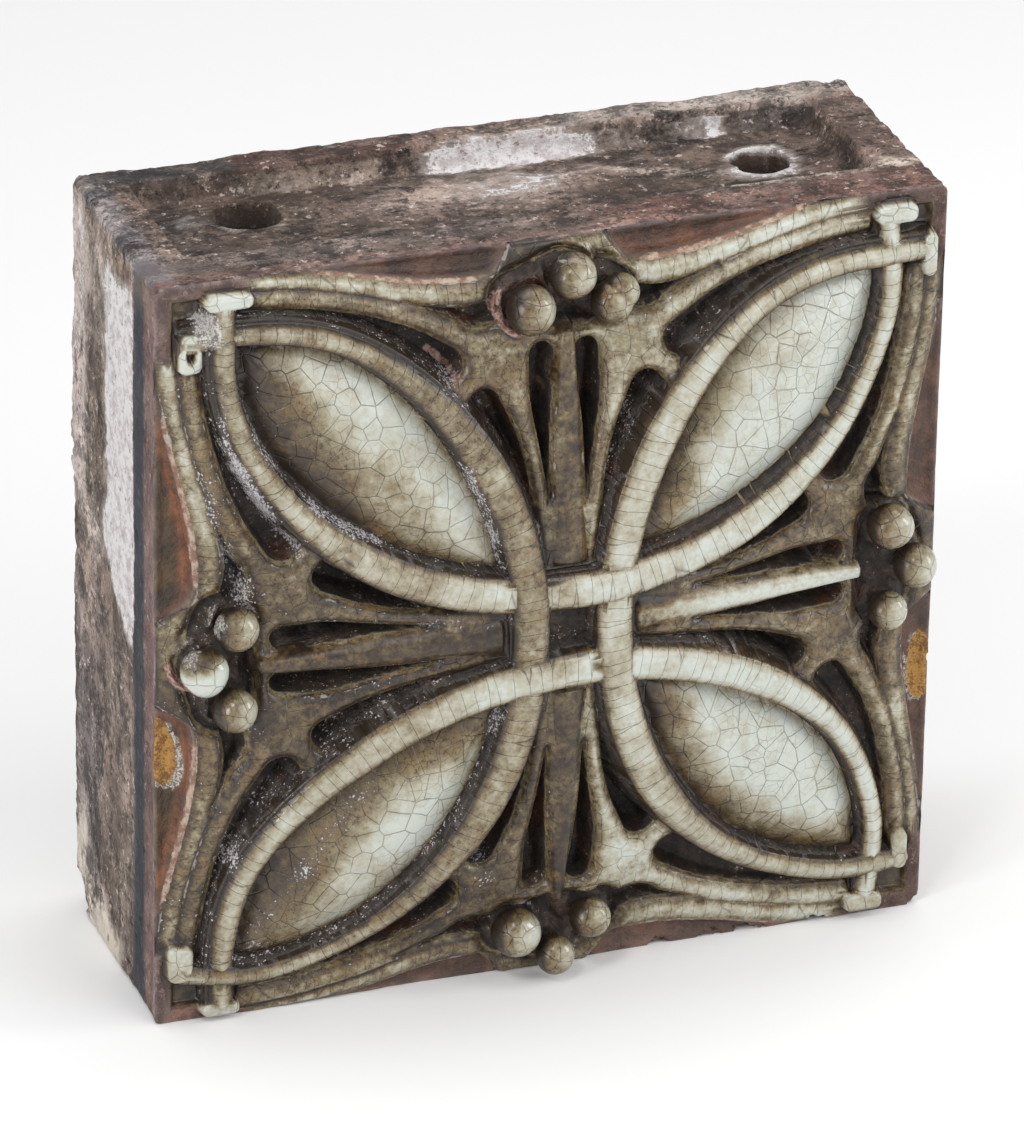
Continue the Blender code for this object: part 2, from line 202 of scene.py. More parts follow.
# the glaze stands up round some of them as a torn collar: berry, direction in degrees, spread, height
COLLARS = ((0, 205, 75, .012), (1, 20, 70, .007), (1, 190, 45, .009), (3, 45, 70, .007), (4, 160, 55, .011), (5, 128, 45, .008),
           (5, 235, 75, .009), (6, 190, 60, .008), (10, 95, 50, .010), (7, 60, 60, .006), (9, 90, 60, .006))
# caps on the arcs' ends: middle, half lengths, height
CAPS = ((-.4120, .4675, .0295, .0110, .020), (-.4600, .4060, .0145, .0260, .019), (.4290, .4690, .0270, .0120, .020),
        (.4740, .4100, .0095, .0290, .020), (-.4725, -.4030, .0165, .0250, .019), (-.4200, -.4740, .0245, .0105, .018),
        (.4610, -.4050, .0108, .0262, .023), (.4165, -.4720, .0255, .0110, .021))
# hollows in the broken ones: middle, half lengths
HOLLOW_CAPS = ((-.4600, .4060, .0062, .0135),)
CAP_R = 0.010
LEDGED = {"top": -1, "left": 1, "right": 1, "bottom": -1}      # the halves of the arcs that have a ledge outside


def side_frame(side, x, w):
    return {"top": (x, w), "right": (w, x), "bottom": (x, -w), "left": (w, -x)}[side]


def relief(x, w, full=False):
    """Height of the carving in front of the margin, in block widths, and what it is made of."""
    px, pw = unwarp(x, w)
    lift = cushion(px, pw)
    ax, aw = np.abs(px), np.abs(pw)
    upright = aw >= ax
    s = np.where(upright, px, pw)
    t = np.abs(s)
    r = np.where(upright, aw, ax)
    edge = np.where(upright, H2, 0.5)
    lowest = upright & (pw < 0)
    out = {}

    # plate with its wells
    plate = 0.70 * lift + 0.002
    wells = np.minimum.reduce([chain(t, r, k) for k in (WELL_STALK, WELL_LEG, WELL_BRANCH, WELL_TIP)])
    niche = chain(t, r, NICHE)
    well = np.minimum(wells, niche)
    spread = np.where(lowest & (px < 0), 0.009 * step(t, 0.13, 0.24), 0.0)
    tc = np.clip(t, 0.18, 0.42)
    seam = np.where(t > 0.19, np.abs(r - spread - 0.5 * (branch_line(tc) + outer_line(tc))), 9.0)
    rim = outer_line(np.clip(t, 0.09, 0.42)) + 0.014 + spread
    rim = np.where(t < 0.09, rim + 0.075 * smooth((0.09 - t) / 0.06), rim)
    inside = rim - r
    e = np.minimum(np.minimum(well, inside), seam + 0.002)
    h = plate - 0.0065 * (1 - np.clip(e / 0.0135, 0, 1)) ** 2
    near_ball = np.full(x.shape, 9.0)
    for bx, bw, rad, up in BERRIES:
        near_ball = np.minimum(near_ball, np.hypot(x - bx, w - bw) - rad)
    floor = -0.010 + (niche < wells) * (0.010 * step(-niche, 0.0, 0.02) + 0.012 * smooth(1 - near_ball / 0.020))
    k = smooth(-well / 0.011)
    h = h * (1 - k) + floor * k
    scoop = -0.0075 * step(t, 0.345, 0.235) * step(t, 0.05, 0.10) * (0.25 + 0.75 * smooth((edge - r) / 0.014))
    k = smooth(-inside / 0.0115)
    h = h * (1 - k) + scoop * k
    h = h + 0.0036 * np.exp(-((inside + 0.0005) / 0.0032) ** 2) * step(t, 0.350, 0.300) * step(t, 0.085, 0.11)
    kind = np.where(well < 0, 3, np.where(inside < 0, 4, 2))
    if full:
        out["well"] = well
        out["niche"] = niche
        out["inside"] = inside
        out["seam"] = seam
        out["t"], out["r"], out["s"] = t, r, s
        out["plate_edge"] = e
        out["near_ball"] = near_ball

    # sunk squares inside the frame's corners
    inset = np.minimum(0.5 - ax, H2 - aw) - 0.020
    corner = (ax > 0.395) & (aw > 0.395)
    soft = step(np.minimum(ax, aw), 0.395, 0.410)
    h = np.where(corner, h * (1 - soft) - 0.010 * smooth(inset / 0.006) * soft, h)
    kind = np.where(corner, 5, kind)

    # stalks; the bottom one tapers most
    along = np.clip((r - 0.083) / 0.305, 0, 1)
    half = 0.0285 - (0.0285 - np.where(lowest, 0.0055, 0.0090)) * along
    q = np.minimum(t / half, 1)
    d = np.hypot(np.maximum(t - half + 0.003, 0), np.maximum(np.maximum(0.089 - r, r - 0.381), 0))
    stalk = 0.067 - (r - 0.08) * 0.083 - 0.80 * half * (1 - np.sqrt(1 - 0.95 * q * q)) - 0.0020 * smooth(d / 0.0035) - np.clip(d - 0.0035, 0, 9) * 4.5
    up = stalk > h
    sunk = np.where(up, np.clip(t - half - 0.0005, 0, 1) * 4.5, 0.0)
    h = np.where(up, stalk, h)
    kind = np.where(up, 6, kind)
    hub = (ax < 0.036) & (aw < 0.036)
    h = np.where(hub, np.minimum(h, 0.046), h)
    kind = np.where(hub, 10, kind)

    # the four arcs, woven over and under each other
    high = lift + CORNER_LIFT * step(np.minimum(ax, aw), 0.26, 0.40)
    dist, bands, band_u, band_d = {}, np.full(x.shape, -9.0), np.zeros(x.shape), np.full(x.shape, 9.0)
    band_w, band_e = np.full(x.shape, 0.0190), np.full(x.shape, 0.0225)
    owner = np.full(x.shape, -1)
    for n, side in enumerate(("top", "right", "bottom", "left")):
        ss, rr = side_frame(side, px, pw)
        d, u = arc_distance(ss, rr)
        dist[side] = d
        a = np.abs(d)
        weave = np.zeros(x.shape)
        for sx in (-1, 1):
            for sw in (-1, 1):
                mine = {"top": sw > 0, "bottom": sw < 0, "right": sx > 0, "left": sx < 0}[side]
                if mine:
                    near = np.exp(-((px - .05 * sx) ** 2 + (pw - .05 * sw) ** 2) / (2 * 0.022 ** 2))
                    weave += 0.0038 * near * (1 if OVER[side] == (sx, sw) else -1)
                near = np.exp(-((px - .413 * sx) ** 2 + (pw - .413 * sw) ** 2) / (2 * 0.02 ** 2))
                weave += 0.0030 * near * (1 if CORNER_OVER[(sx, sw)] == side else -1)
        hw = arc_half(np.abs(ss))
        ledged = (d > 0) & (ss * LEDGED[side] > 0)
        end = np.where(ledged, np.maximum(hw + 0.0035, ARC_LEDGE), hw + 0.0035)
        ledge = smooth((end - hw - 0.0035) / 0.006)
        band = (high + weave - 0.0040 * smooth((a - hw + 0.0090) / 0.0090) ** 1.3 - 0.0018 * smooth((a - hw) / 0.002)
                - ledge * (0.0034 * smooth((a - hw) / 0.0035) - 0.0026 * np.exp(-((a - end + 0.0020) / 0.0020) ** 2))
                - np.clip(a - end, 0, 9) * 4.0)
        gone = (rr > 0.474) | (np.abs(ss) > 0.45)
        band = np.where(gone, -1.0, band)
        win = band > bands
        band_u = np.where(win, u + 3.0 * n, band_u)
        band_d = np.where(win, d, band_d)
        band_w = np.where(win, hw, band_w)
        band_e = np.where(win, end, band_e)
        owner = np.where(win, n, owner)
        bands = np.maximum(bands, band)

    # pillowed petals
    petal_e = np.full(x.shape, -1.0)
    petal_v, petal_h = np.full(x.shape, 9.0), np.full(x.shape, 9.0)
    for sx in (-1, 1):
        for sw in (-1, 1):
            dv = -dist["top" if sw > 0 else "bottom"] - arc_half(ax)
            dh = -dist["right" if sx > 0 else "left"] - arc_half(aw)
            ee = np.minimum(dv, dh)
            m = (px * sx > 0) & (pw * sw > 0) & (ee > -0.010) & (ax < 0.425) & (aw < 0.425)
            pillow = high - 0.006 - 0.034 * (1 - np.clip(ee / 0.080, 0, 1.05)) ** 2
            h = np.where(m, pillow, h)
            kind = np.where(m, 8, kind)
            petal_e = np.where(m, ee, petal_e)
            petal_v = np.where(m, dv, petal_v)
            petal_h = np.where(m, dh, petal_h)
    up = bands > h
    h = np.where(up, bands, h)
    kind = np.where(up, 1, kind)
    sunk = np.where(up, np.clip(np.abs(band_d) - band_e, 0, 1) * 4.0, np.where(kind == 8, 0.0, sunk))

    # small rounded caps on the arcs' ends
    for cx, cw, lx, lw, top in CAPS:
        d = np.hypot(np.maximum(np.abs(px - cx) - lx + CAP_R, 0), np.maximum(np.abs(pw - cw) - lw + CAP_R, 0))
        low = top - CAP_R * 0.8
        cap = np.where(d < CAP_R, low + 0.8 * CAP_R * np.sqrt(1 - np.clip(d / CAP_R, 0, 1) ** 3), low - (d - CAP_R) * 6)
        for hx, hw_, rx, rw in HOLLOW_CAPS:
            cap = cap - 0.012 * smooth(1.35 - np.hypot((px - hx) / rx, (pw - hw_) / rw))
        up = cap > h
        h = np.where(up, cap, h)
        kind = np.where(up, 9, kind)

    # torn collars of glaze round the berries
    for n, toward, spread, rise in COLLARS:
        bx, bw, rad, _ = BERRIES[n]
        d = np.hypot(x - bx, w - bw)
        turn = np.abs((np.degrees(np.arctan2(w - bw, x - bx)) - toward + 180) % 360 - 180)
        k = smooth(1 - turn / spread)
        h = h + rise * 1.5 * k * np.exp(-((d - rad - 0.0050) / 0.0045) ** 2) * (h < 0.036)
    if not full:
        return h
    out.update(kind=kind, band_u=band_u, band_d=band_d, band_w=band_w, band_e=band_e, owner=owner, petal_e=petal_e,
               petal_v=petal_v, petal_h=petal_h, px=px, pw=pw, lift=lift, high=high, h=h, plate=plate, sunk=sunk)
    return h, out


# ============================================================================
# building the block's surface
def edge_round(d, r):
    return 0.3 * r * np.clip(1 - d / r, 0, 1) ** 2


def grid_faces(rows, cols, first=0):
    i = np.arange(rows - 1)[:, None] * cols + np.arange(cols - 1)[None, :] + first
    return np.stack([i, i + 1, i + cols + 1, i + cols], -1).reshape(-1, 4)


def mesh_from(name, verts, quads, tris=None):
    me = bpy.data.meshes.new(name)
    nq, nt = len(quads), 0 if tris is None else len(tris)
    me.vertices.add(len(verts))
    me.vertices.foreach_set("co", np.ascontiguousarray(verts, np.float32).ravel())
    me.loops.add(nq * 4 + nt * 3)
    me.polygons.add(nq + nt)
    loops = quads.ravel() if nt == 0 else np.concatenate([quads.ravel(), tris.ravel()])
    me.loops.foreach_set("vertex_index", loops.astype(np.int32))
    starts = np.concatenate([np.arange(nq) * 4, nq * 4 + np.arange(nt) * 3]).astype(np.int32)
    me.polygons.foreach_set("loop_start", starts)
    me.update(calc_edges=True)
    return me


# chips broken out of the arrises and sides: centre (x, behind margin, z), radius, direction it goes in
CHIPS = [
    ((0.088, -0.002, -0.004), 0.0085, (0, .3, 1)), ((0.108, -0.002, -0.006), 0.0105, (0, .3, 1)),
    ((0.062, -0.003, -0.005), 0.0085, (0, .3, 1)), ((0.146, 0.000, -0.0065), 0.0100, (0, .3, 1)),
    ((0.200, -0.002, 0.000), 0.0065, (-.8, .3, .8)),
    ((-0.200, 0.001, 0.394), 0.0035, (1, .6, -.8)), ((0.200, 0.002, 0.394), 0.0040, (-1, .6, -.8)),
    ((-0.030, 0.000, 0.395), 0.0035, (0, .5, -1)), ((0.060, 0.001, 0.3955), 0.0045, (0, .5, -1)),
    ((-0.201, 0.000, 0.300), 0.0035, (1, .5, 0)), ((-0.2005, 0.001, 0.160), 0.0030, (1, .5, .2)),
    ((0.2018, 0.001, 0.214), 0.0032, (-1, .4, .1)), ((0.2015, 0.001, 0.138), 0.0028, (-1, .4, .1)),
    ((-0.2005, 0.140, 0.250), 0.0080, (1, -.8, 0)), ((-0.201, 0.141, 0.350), 0.0060, (1, -.8, 0)),
    ((-0.200, 0.140, 0.140), 0.0070, (1, -.8, 0)), ((0.2005, 0.141, 0.300), 0.0080, (-1, -.8, 0)),
    ((0.201, 0.140, 0.080), 0.0090, (-1, -.8, .2)), ((0.050, 0.141, 0.394), 0.0060, (0, -.8, -1)),
    ((-0.060, 0.142, 0.395), 0.0060, (0, -.8, -1)), ((0.130, 0.141, 0.3945), 0.0055, (0, -.8, -1)),
    ((0.190, 0.139, 0.394), 0.0075, (-.7, -.8, -.8)), ((-0.192, 0.141, 0.394), 0.0055, (.6, -.8, -.8)),
    ((0.080, 0.141, 0.000), 0.0065, (0, -.8, 1)), ((-0.050, 0.141, 0.001), 0.0075, (0, -.8, 1)),
]


def chipped(p, chips):
    for n, (c, rad, way) in enumerate(chips):
        c = np.array((c[0], MARGIN_Y + c[1], c[2]))
        way = np.array(way, float)
        way /= np.linalg.norm(way)
        off = p - c
        near = np.linalg.norm(off, axis=1) < rad * 1.9
        if not near.any():
            continue
        q = off[near]
        a = q @ way
        perp = np.linalg.norm(q - a[:, None] * way, axis=1)
        rr = rad * (1 + 0.45 * noise(p[near], 260, 70 + n))
        reach = np.sqrt(np.clip(rr ** 2 - perp ** 2, 0, 1))
        push = np.where((perp < rr) & (a < reach), reach - a, 0)
        p[near] += push[:, None] * way * 0.92
    return p


def build_body(n_front):
    n = n_front // 4 * 4
    nx = nz = n + 1
    gx, gz = np.meshgrid(np.linspace(-0.5, 0.5, nx), np.linspace(-H2, H2, nz))
    x, w = gx.ravel(), gz.ravel()
    h, info = relief(x, w, True)
    kind = info["kind"]
    p = np.stack([x * WIDTH, np.full(x.shape, MARGIN_Y), (w + H2) * WIDTH], 1)

    # hand-pressed unevenness, crusts in the hollows, worn margins
    rough = 0.00030 * noise(p, 38, 1) + 0.00012 * noise(p, 110, 2)
    hollow = np.where(kind == 3, smooth(-info["well"] / 0.006), 0.0)
    hollow = np.where(kind == 10, 1.0, hollow)
    rim_crust = np.where(kind == 2, step(info["plate_edge"], 0.006, -0.002), 0.0)
    bare = np.where((kind == 4) | (kind == 5), 1.0, 0.0)
    crust = fbm(p, 210, 3, 5)
    rough = rough + hollow * (0.0008 + 0.0010 * crust) + rim_crust * 0.00022 * crust
    rough = rough + bare * (0.00028 * fbm(p, 150, 3, 8))
    hmm = h * WIDTH + rough
    q = np.minimum(0.2 - np.abs(p[:, 0]), np.minimum(p[:, 2], HEIGHT - p[:, 2]))
    wear = 0.0022 * (1 + 0.7 * noise(p, 90, 3))
    hmm = hmm - edge_round(q, wear) * 1.2
    p[:, 1] = MARGIN_Y - np.minimum(hmm, RELIEF_MAX - SKIN)
    front = p
    front_n = len(front)

    # the four sides as rings, half as many points round as the front's rim
    m = n // 2
    idx = np.arange(nx * nz).reshape(nz, nx)
    rim = np.concatenate([idx[0, :-1], idx[:-1, -1], idx[-1, :0:-1], idx[:0:-1, 0]])      # anticlockwise seen from -Y
    coarse_rim = rim[::2]
    depth = np.concatenate([[0.0007, 0.0016, 0.0028, 0.0042], np.linspace(0.0058, DEPTH, 92)])
    base = np.stack([x[coarse_rim] * WIDTH, (w[coarse_rim] + H2) * WIDTH], 1)
    rings = np.concatenate([np.column_stack([base[:, 0], np.full(len(base), MARGIN_Y + d), base[:, 1]]) for d in depth])
    # the back
    bx, bz = np.meshgrid(np.linspace(-0.5, 0.5, m + 1) * WIDTH, np.linspace(0, HEIGHT, m + 1))
    bidx = np.arange((m + 1) ** 2).reshape(m + 1, m + 1)
    brim = np.concatenate([bidx[0, :-1], bidx[:-1, -1], bidx[-1, :0:-1], bidx[:0:-1, 0]])
    inner = np.setdiff1d(bidx.ravel(), brim)
    back = np.column_stack([bx.ravel()[inner], np.full(len(inner), BACK_Y), bz.ravel()[inner]])

    k = len(coarse_rim)
    ring0 = front_n
    last = ring0 + (len(depth) - 1) * k
    back0 = ring0 + len(rings)
    quads = [grid_faces(nz, nx)]
    a0, a1, a2 = rim[::2], rim[1::2], np.roll(rim, -2)[::2]
    b0 = ring0 + np.arange(k)
    b1 = ring0 + (np.arange(k) + 1) % k
    tris = np.concatenate([np.stack([a1, a0, b0], 1), np.stack([a1, b0, b1], 1), np.stack([a2, a1, b1], 1)])
    for j in range(len(depth) - 1):
        c0 = ring0 + j * k
        i0, i1 = c0 + np.arange(k), c0 + (np.arange(k) + 1) % k
        quads.append(np.stack([i1, i0, i0 + k, i1 + k], 1))
    name_back = np.empty((m + 1) ** 2, np.int64)
    name_back[brim] = last + np.arange(k)
    name_back[inner] = back0 + np.arange(len(inner))
    bf = grid_faces(m + 1, m + 1)
    quads.append(name_back[bf][:, ::-1])
    quads = np.concatenate(quads)

    # push the sides and back in: rough, worn at the arrises
    tail = np.concatenate([rings, back])
    allp = np.concatenate([front, tail])
    zero = np.zeros(len(allp))
    is_tail = np.concatenate([np.zeros(front_n), np.ones(len(tail))])
    y = allp[:, 1] - MARGIN_Y
    yy = np.clip(y, 0, DEPTH)
    xx, zz = allp[:, 0].copy(), allp[:, 2].copy()
    side_near = np.abs(xx) > 0.2 - 0.013
    bed_near = (zz < 0.013) | (zz > HEIGHT - 0.013)
    want = np.where(side_near | bed_near | (yy > DEPTH - 0.013))[0]
    pw = allp[want]
    big = fbm(pw, 26, 2, 20)
    mid = fbm(pw, 120, 3, 23)
    tiny = fbm(pw, 330, 2, 27)
    dy = yy[want]
    behind = step(dy, 0.0, 0.010)
    rag = step(dy, 0.118, 0.140)
    zc = zz[want]
    xc = xx[want]
    # ends
    pull = 0.0002 + behind * (0.0009 + 0.00045 * big + 0.00045 * mid + 0.00032 * tiny + 0.0009 * smooth((mid - .45) / .4))
    pull += edge_round(dy, 0.0022) + edge_round(DEPTH - dy, 0.0070 * (1 + 0.8 * big)) + rag * 0.0009 * np.clip(mid + .4 * tiny, 0, 2)
    pull += edge_round(zc, 0.0030) + edge_round(HEIGHT - zc, 0.0030 * (1 + 0.5 * mid))
    left = xc < 0
    strip = step(dy, 0.003, 0.006) * step(dy, 0.037, 0.033)              # smooth strip behind the face's left arris
    pull = np.where(left, pull - strip * behind * 0.00035 * mid, pull)
    mort = left_mortar(dy, zc) * left
    pull = pull - mort * 0.0009 * (0.7 + 0.5 * mid)
    step_in = left * step(dy, 0.072, 0.078) * step(zc, 0.30, 0.33)
    pull = pull + step_in * 0.0011
    sx = smooth((np.abs(xc) - (0.2 - 0.012)) / 0.012)
    allp[want, 0] -= np.sign(xc) * np.clip(pull, SKIN, 0.006) * sx
    # beds
    pull = 0.0002 + behind * (0.0007 + 0.00035 * big + 0.00042 * mid + 0.0003 * tiny + 0.0007 * smooth((mid - .45) / .4))
    pull += edge_round(dy, 0.0022) + edge_round(DEPTH - dy, 0.0050 * (1 + 0.7 * big)) + edge_round(0.2 - np.abs(xc), 0.003)
    low = zc < HEIGHT / 2
    sz = smooth((np.where(low, 0.012, 0.012) - np.minimum(zc, HEIGHT - zc)) / 0.012)
    lower_pull = np.where(low, 0.6, 1.0)
    allp[want, 2] += np.where(low, 1, -1) * np.clip(pull * lower_pull, SKIN, 0.006) * sz
    # back
    pull = 0.0005 + 0.0004 * big + 0.0006 * mid
    pull += edge_round(0.2 - np.abs(xc), 0.006) + edge_round(np.minimum(zc, HEIGHT - zc), 0.005)
    short = step(-xc, 0.185, 0.199) * step(zc, 0.245, 0.225)
    pull += short * 0.0060
    sy = smooth((dy - (DEPTH - 0.012)) / 0.012)
    allp[want, 1] -= np.clip(pull, SKIN, 0.010) * sy * is_tail[want]
    allp = chipped(allp, CHIPS)
    return allp, quads, tris


def left_mortar(dy, z):
    """Where old mortar clings to the left end; dy is the distance behind the margin."""
    u, v = dy / WIDTH, z / WIDTH
    right = 0.185 + 0.022 * step(v, .60, .9) + 0.022 * np.exp(-((v - .585) / .03) ** 2) - 0.080 * step(v, .56, .44)
    return step(u, 0.087, 0.091) * step(u, right + .030, right - 0.022) * step(v, .42, .52) * step(v, .960, .900)


def cutter_box(name, low, high, cuts, rough, seed, taper=None, bevel=0.0):
    """A rough box: its walls are subdivided and pushed about, so that what it cuts is rough too."""
    bm = bmesh.new()
    bmesh.ops.create_cube(bm, size=1.0)
    if bevel:
        scale = [high[i] - low[i] for i in range(3)]
        for v in bm.verts:
            v.co = Vector([v.co[i] * scale[i] for i in range(3)])
        bmesh.ops.bevel(bm, geom=list(bm.edges), offset=bevel, segments=3, profile=0.5, affect="EDGES")
        for v in bm.verts:
            v.co = Vector([v.co[i] / scale[i] for i in range(3)])
    bmesh.ops.subdivide_edges(bm, edges=list(bm.edges), cuts=cuts, use_grid_fill=True)
    bmesh.ops.triangulate(bm, faces=list(bm.faces))
    co = np.array([v.co[:] for v in bm.verts])
    p = np.array(low) + (co + 0.5) * (np.array(high) - np.array(low))
    if taper is not None:
        p = taper(p)
    for a in range(3):
        p[:, a] += rough * fbm(p, 60, 4, seed + a * 5)
    for v, c in zip(bm.verts, p):
        v.co = c
    me = bpy.data.meshes.new(name)
    bm.to_mesh(me)
    bm.free()
    ob = bpy.data.objects.new(name, me)
    bpy.context.scene.collection.objects.link(ob)
    thinned(ob, 5 * cuts * cuts)                 # its rounded edges are cut far too finely
    bpy.context.scene.collection.objects.unlink(ob)
    return ob


def cutter_round(name, centre, radius, z0, z1, seed, lean=(0, 0)):
    bm = bmesh.new()
    bmesh.ops.create_cone(bm, cap_ends=True, cap_tris=True, segments=56, radius1=1, radius2=1, depth=1)
    upright = [e for e in bm.edges if abs(e.verts[0].co.z - e.verts[1].co.z) > 0.5]
    bmesh.ops.subdivide_edges(bm, edges=upright, cuts=22)
    co = np.array([v.co[:] for v in bm.verts])
    z = z0 + (co[:, 2] + 0.5) * (z1 - z0)
    at = np.column_stack([centre[0] + co[:, 0] * radius, centre[1] + co[:, 1] * radius, z])
    k = radius * (1 + 0.15 * fbm(at, 45, 3, seed) + 0.10 * fbm(at, 150, 2, seed + 3) * step(z, HEIGHT - 0.030, HEIGHT - 0.016)
                  + 0.11 * step(z, HEIGHT - 0.022, HEIGHT - 0.010))
    p = np.column_stack([centre[0] + co[:, 0] * k + lean[0] * (z - z1), centre[1] + co[:, 1] * k + lean[1] * (z - z1), z])
    for v, c in zip(bm.verts, p):
        v.co = c
    bmesh.ops.triangulate(bm, faces=list(bm.faces))
    me = bpy.data.meshes.new(name)
    bm.to_mesh(me)
    bm.free()
    return bpy.data.objects.new(name, me)


def applied(ob):
    graph = bpy.context.evaluated_depsgraph_get()
    graph.update()
    me = bpy.data.meshes.new_from_object(ob.evaluated_get(graph))
    old = ob.data
    ob.modifiers.clear()
    ob.data = me
    bpy.data.meshes.remove(old)
    return ob


def boolean(ob, tools, operation):
    for tool in tools:
        bpy.context.scene.collection.objects.link(tool)
        m = ob.modifiers.new(tool.name, "BOOLEAN")
        m.operation = operation
        m.object = tool
        m.solver = "MANIFOLD"
    applied(ob)
    for tool in tools:
        me = tool.data
        bpy.data.objects.remove(tool, do_unlink=True)
        bpy.data.meshes.remove(me)
    return ob


def thinned(ob, triangles):
    now = sum(len(q.vertices) - 2 for q in ob.data.polygons)
    m = ob.modifiers.new("thin", "DECIMATE")
    m.ratio = min(1.0, triangles / now)
    m.use_collapse_triangulate = True
    return applied(ob)


def berry(n, x, w, rad, up):
    """One glazed berry, slightly out of round, as a ball whose lower half sinks into the ground."""
    c = np.array([x * WIDTH, MARGIN_Y - up * WIDTH, (w + H2) * WIDTH])
    bm = bmesh.new()
    bmesh.ops.create_icosphere(bm, subdivisions=5, radius=1.0)
    co = np.array([v.co[:] for v in bm.verts])
    co[:, 1] *= 1.0
    squash = np.array((1.0 + 0.025 * math.sin(n * 2.1), 1.0, 1.0 + 0.025 * math.cos(n * 1.7)))
    p = c + co * rad * WIDTH * squash
    k = 1 + 0.030 * noise(p, 90, 40 + n) + 0.008 * noise(p, 300, 60 + n)
    p = c + (p - c) * k[:, None]
    for v, q in zip(bm.verts, p):
        v.co = q
    me = bpy.data.meshes.new("berry")
    bm.to_mesh(me)
    bm.free()
    return bpy.data.objects.new("berry_%02d" % n, me)


def build_block():
    p, quads, tris = build_body(560)
    me = mesh_from("facade_block_skin", p, quads, tris)
    ob = bpy.data.objects.new("facade_block_skin", me)
    bpy.context.scene.collection.objects.link(ob)
    thinned(ob, 165000)

    tools = []
    cy0, cy1 = MARGIN_Y + 0.036, BACK_Y + 0.02
    for sign, nm in ((-1, "left"), (1, "right")):
        xs = sorted((sign * 0.0145, sign * 0.1735))

        def taper(q, sign=sign):
            deep = np.clip((cy1 - q[:, 1]) / (cy1 - cy0), 0, 1)
            mx = sign * 0.094
            q[:, 0] = mx + (q[:, 0] - mx) * (1 - 0.045 * deep)
            q[:, 2] = np.where(q[:, 2] < 0.1, q[:, 2] + 0.004 * deep, q[:, 2])
            return q
        tools.append(cutter_box("cell_" + nm, (xs[0], cy0, 0.0275), (xs[1], cy1, 0.3525), 40, 0.0009, 30 + sign, taper, 0.012))

    def lean(q):
        mid = np.array((0.0, MARGIN_Y + 0.0755))
        k = 1 - 0.060 * np.clip((HEIGHT - q[:, 2]) / 0.014, -1, 1)
        kx = 1 - 0.030 * np.clip((HEIGHT - q[:, 2]) / 0.014, -1, 1)
        q[:, 0] = mid[0] + (q[:, 0] - mid[0]) * kx
        q[:, 1] = mid[1] + (q[:, 1] - mid[1]) * k
        return q
    tools.append(cutter_box("pocket", (-0.1760, MARGIN_Y + 0.031, HEIGHT - 0.0138), (0.1760, MARGIN_Y + 0.120, HEIGHT + 0.010),
                            60, 0.0010, 55, lean, 0.004))
    tools.append(cutter_round("hole_left", (-0.124, MARGIN_Y + 0.0955), 0.0155, HEIGHT - 0.055, HEIGHT + 0.01, 61))
    tools.append(cutter_round("hole_right", (0.134, MARGIN_Y + 0.080), 0.0140, HEIGHT - 0.055, HEIGHT + 0.01, 64))
    # the lower back corner at the left, broken away
    lost = cutter_box("lost", (-0.036, -0.024, -0.030), (0.036, 0.024, 0.030), 24, 0.0035, 77)
    turn = Matrix.Rotation(math.radians(24), 3, "Z") @ Matrix.Rotation(math.radians(38), 3, "X")
    for v in lost.data.vertices:
        v.co = turn @ v.co + Vector((-0.203, BACK_Y + 0.010, 0.0))
    tools.append(lost)
    boolean(ob, tools, "DIFFERENCE")
    boolean(ob, [berry(n, *b) for n, b in enumerate(BERRIES)], "UNION")
    return thinned(ob, 192000)


# ============================================================================
# what lies on the surface, and painted shade: soft masks kept on the points, sharpened by the material
def blob(x, w, cx, cw, rx, rw, turn=0.0):
    """A soft oval: 1 in the middle, 0 past its edge."""
    c, s = math.cos(math.radians(turn)), math.sin(math.radians(turn))
    a, b = (x - cx) * c + (w - cw) * s, -(x - cx) * s + (w - cw) * c
    return smooth(1.35 - np.sqrt((a / rx) ** 2 + (b / rw) ** 2))


def streak(x, w, points, width):
    """A soft stroke through points."""
    d = chain(x, w, [(q[0], q[1], 0.0) for q in points])
    return smooth(1 - d / width)


def blurred(grid, cells):
    """A grid smoothed by a bell curve this many cells wide."""
    r = int(math.ceil(cells * 2.6))
    k = np.exp(-0.5 * (np.arange(-r, r + 1) / cells) ** 2)
    k /= k.sum()
    for axis in (0, 1):
        pad = [(r, r) if a == axis else (0, 0) for a in (0, 1)]
        g = np.pad(grid, pad, mode="edge")
        n = grid.shape[axis]
        grid = sum(k[i] * (g[i:i + n] if axis == 0 else g[:, i:i + n]) for i in range(2 * r + 1))
    return grid


def sampled(grid, x, w):
    """A grid over the face, read between its points."""
    n = grid.shape[0]
    a = np.clip((x + 0.5) * (n - 1), 0, n - 1.001)
    b = np.clip((w + H2) / (2 * H2) * (n - 1), 0, n - 1.001)
    i, j = a.astype(int), b.astype(int)
    a, b = a - i, b - j
    return ((grid[j, i] * (1 - a) + grid[j, i + 1] * a) * (1 - b)
            + (grid[j + 1, i] * (1 - a) + grid[j + 1, i + 1] * a) * b)


def hollows(x, w, height, spans):
    """How far each point lies below its surroundings, over several distances; all in block widths."""
    n = 401
    gx, gw = np.meshgrid(np.linspace(-0.5, 0.5, n), np.linspace(-H2, H2, n))
    h = relief(gx.ravel(), gw.ravel()).reshape(n, n)
    return [sampled(blurred(h, s * (n - 1)), x, w) - height for s in spans]


def tinted(base, layers):
    """Colours laid over one another: each layer is a mask and an sRGB colour."""
    out = np.array(base, float) * np.ones((len(layers[0][0]), 3))
    for mask, colour in layers:
        m = np.clip(mask, 0, 1)[:, None]
        out = out * (1 - m) + np.array(colour, float) * m
    return out


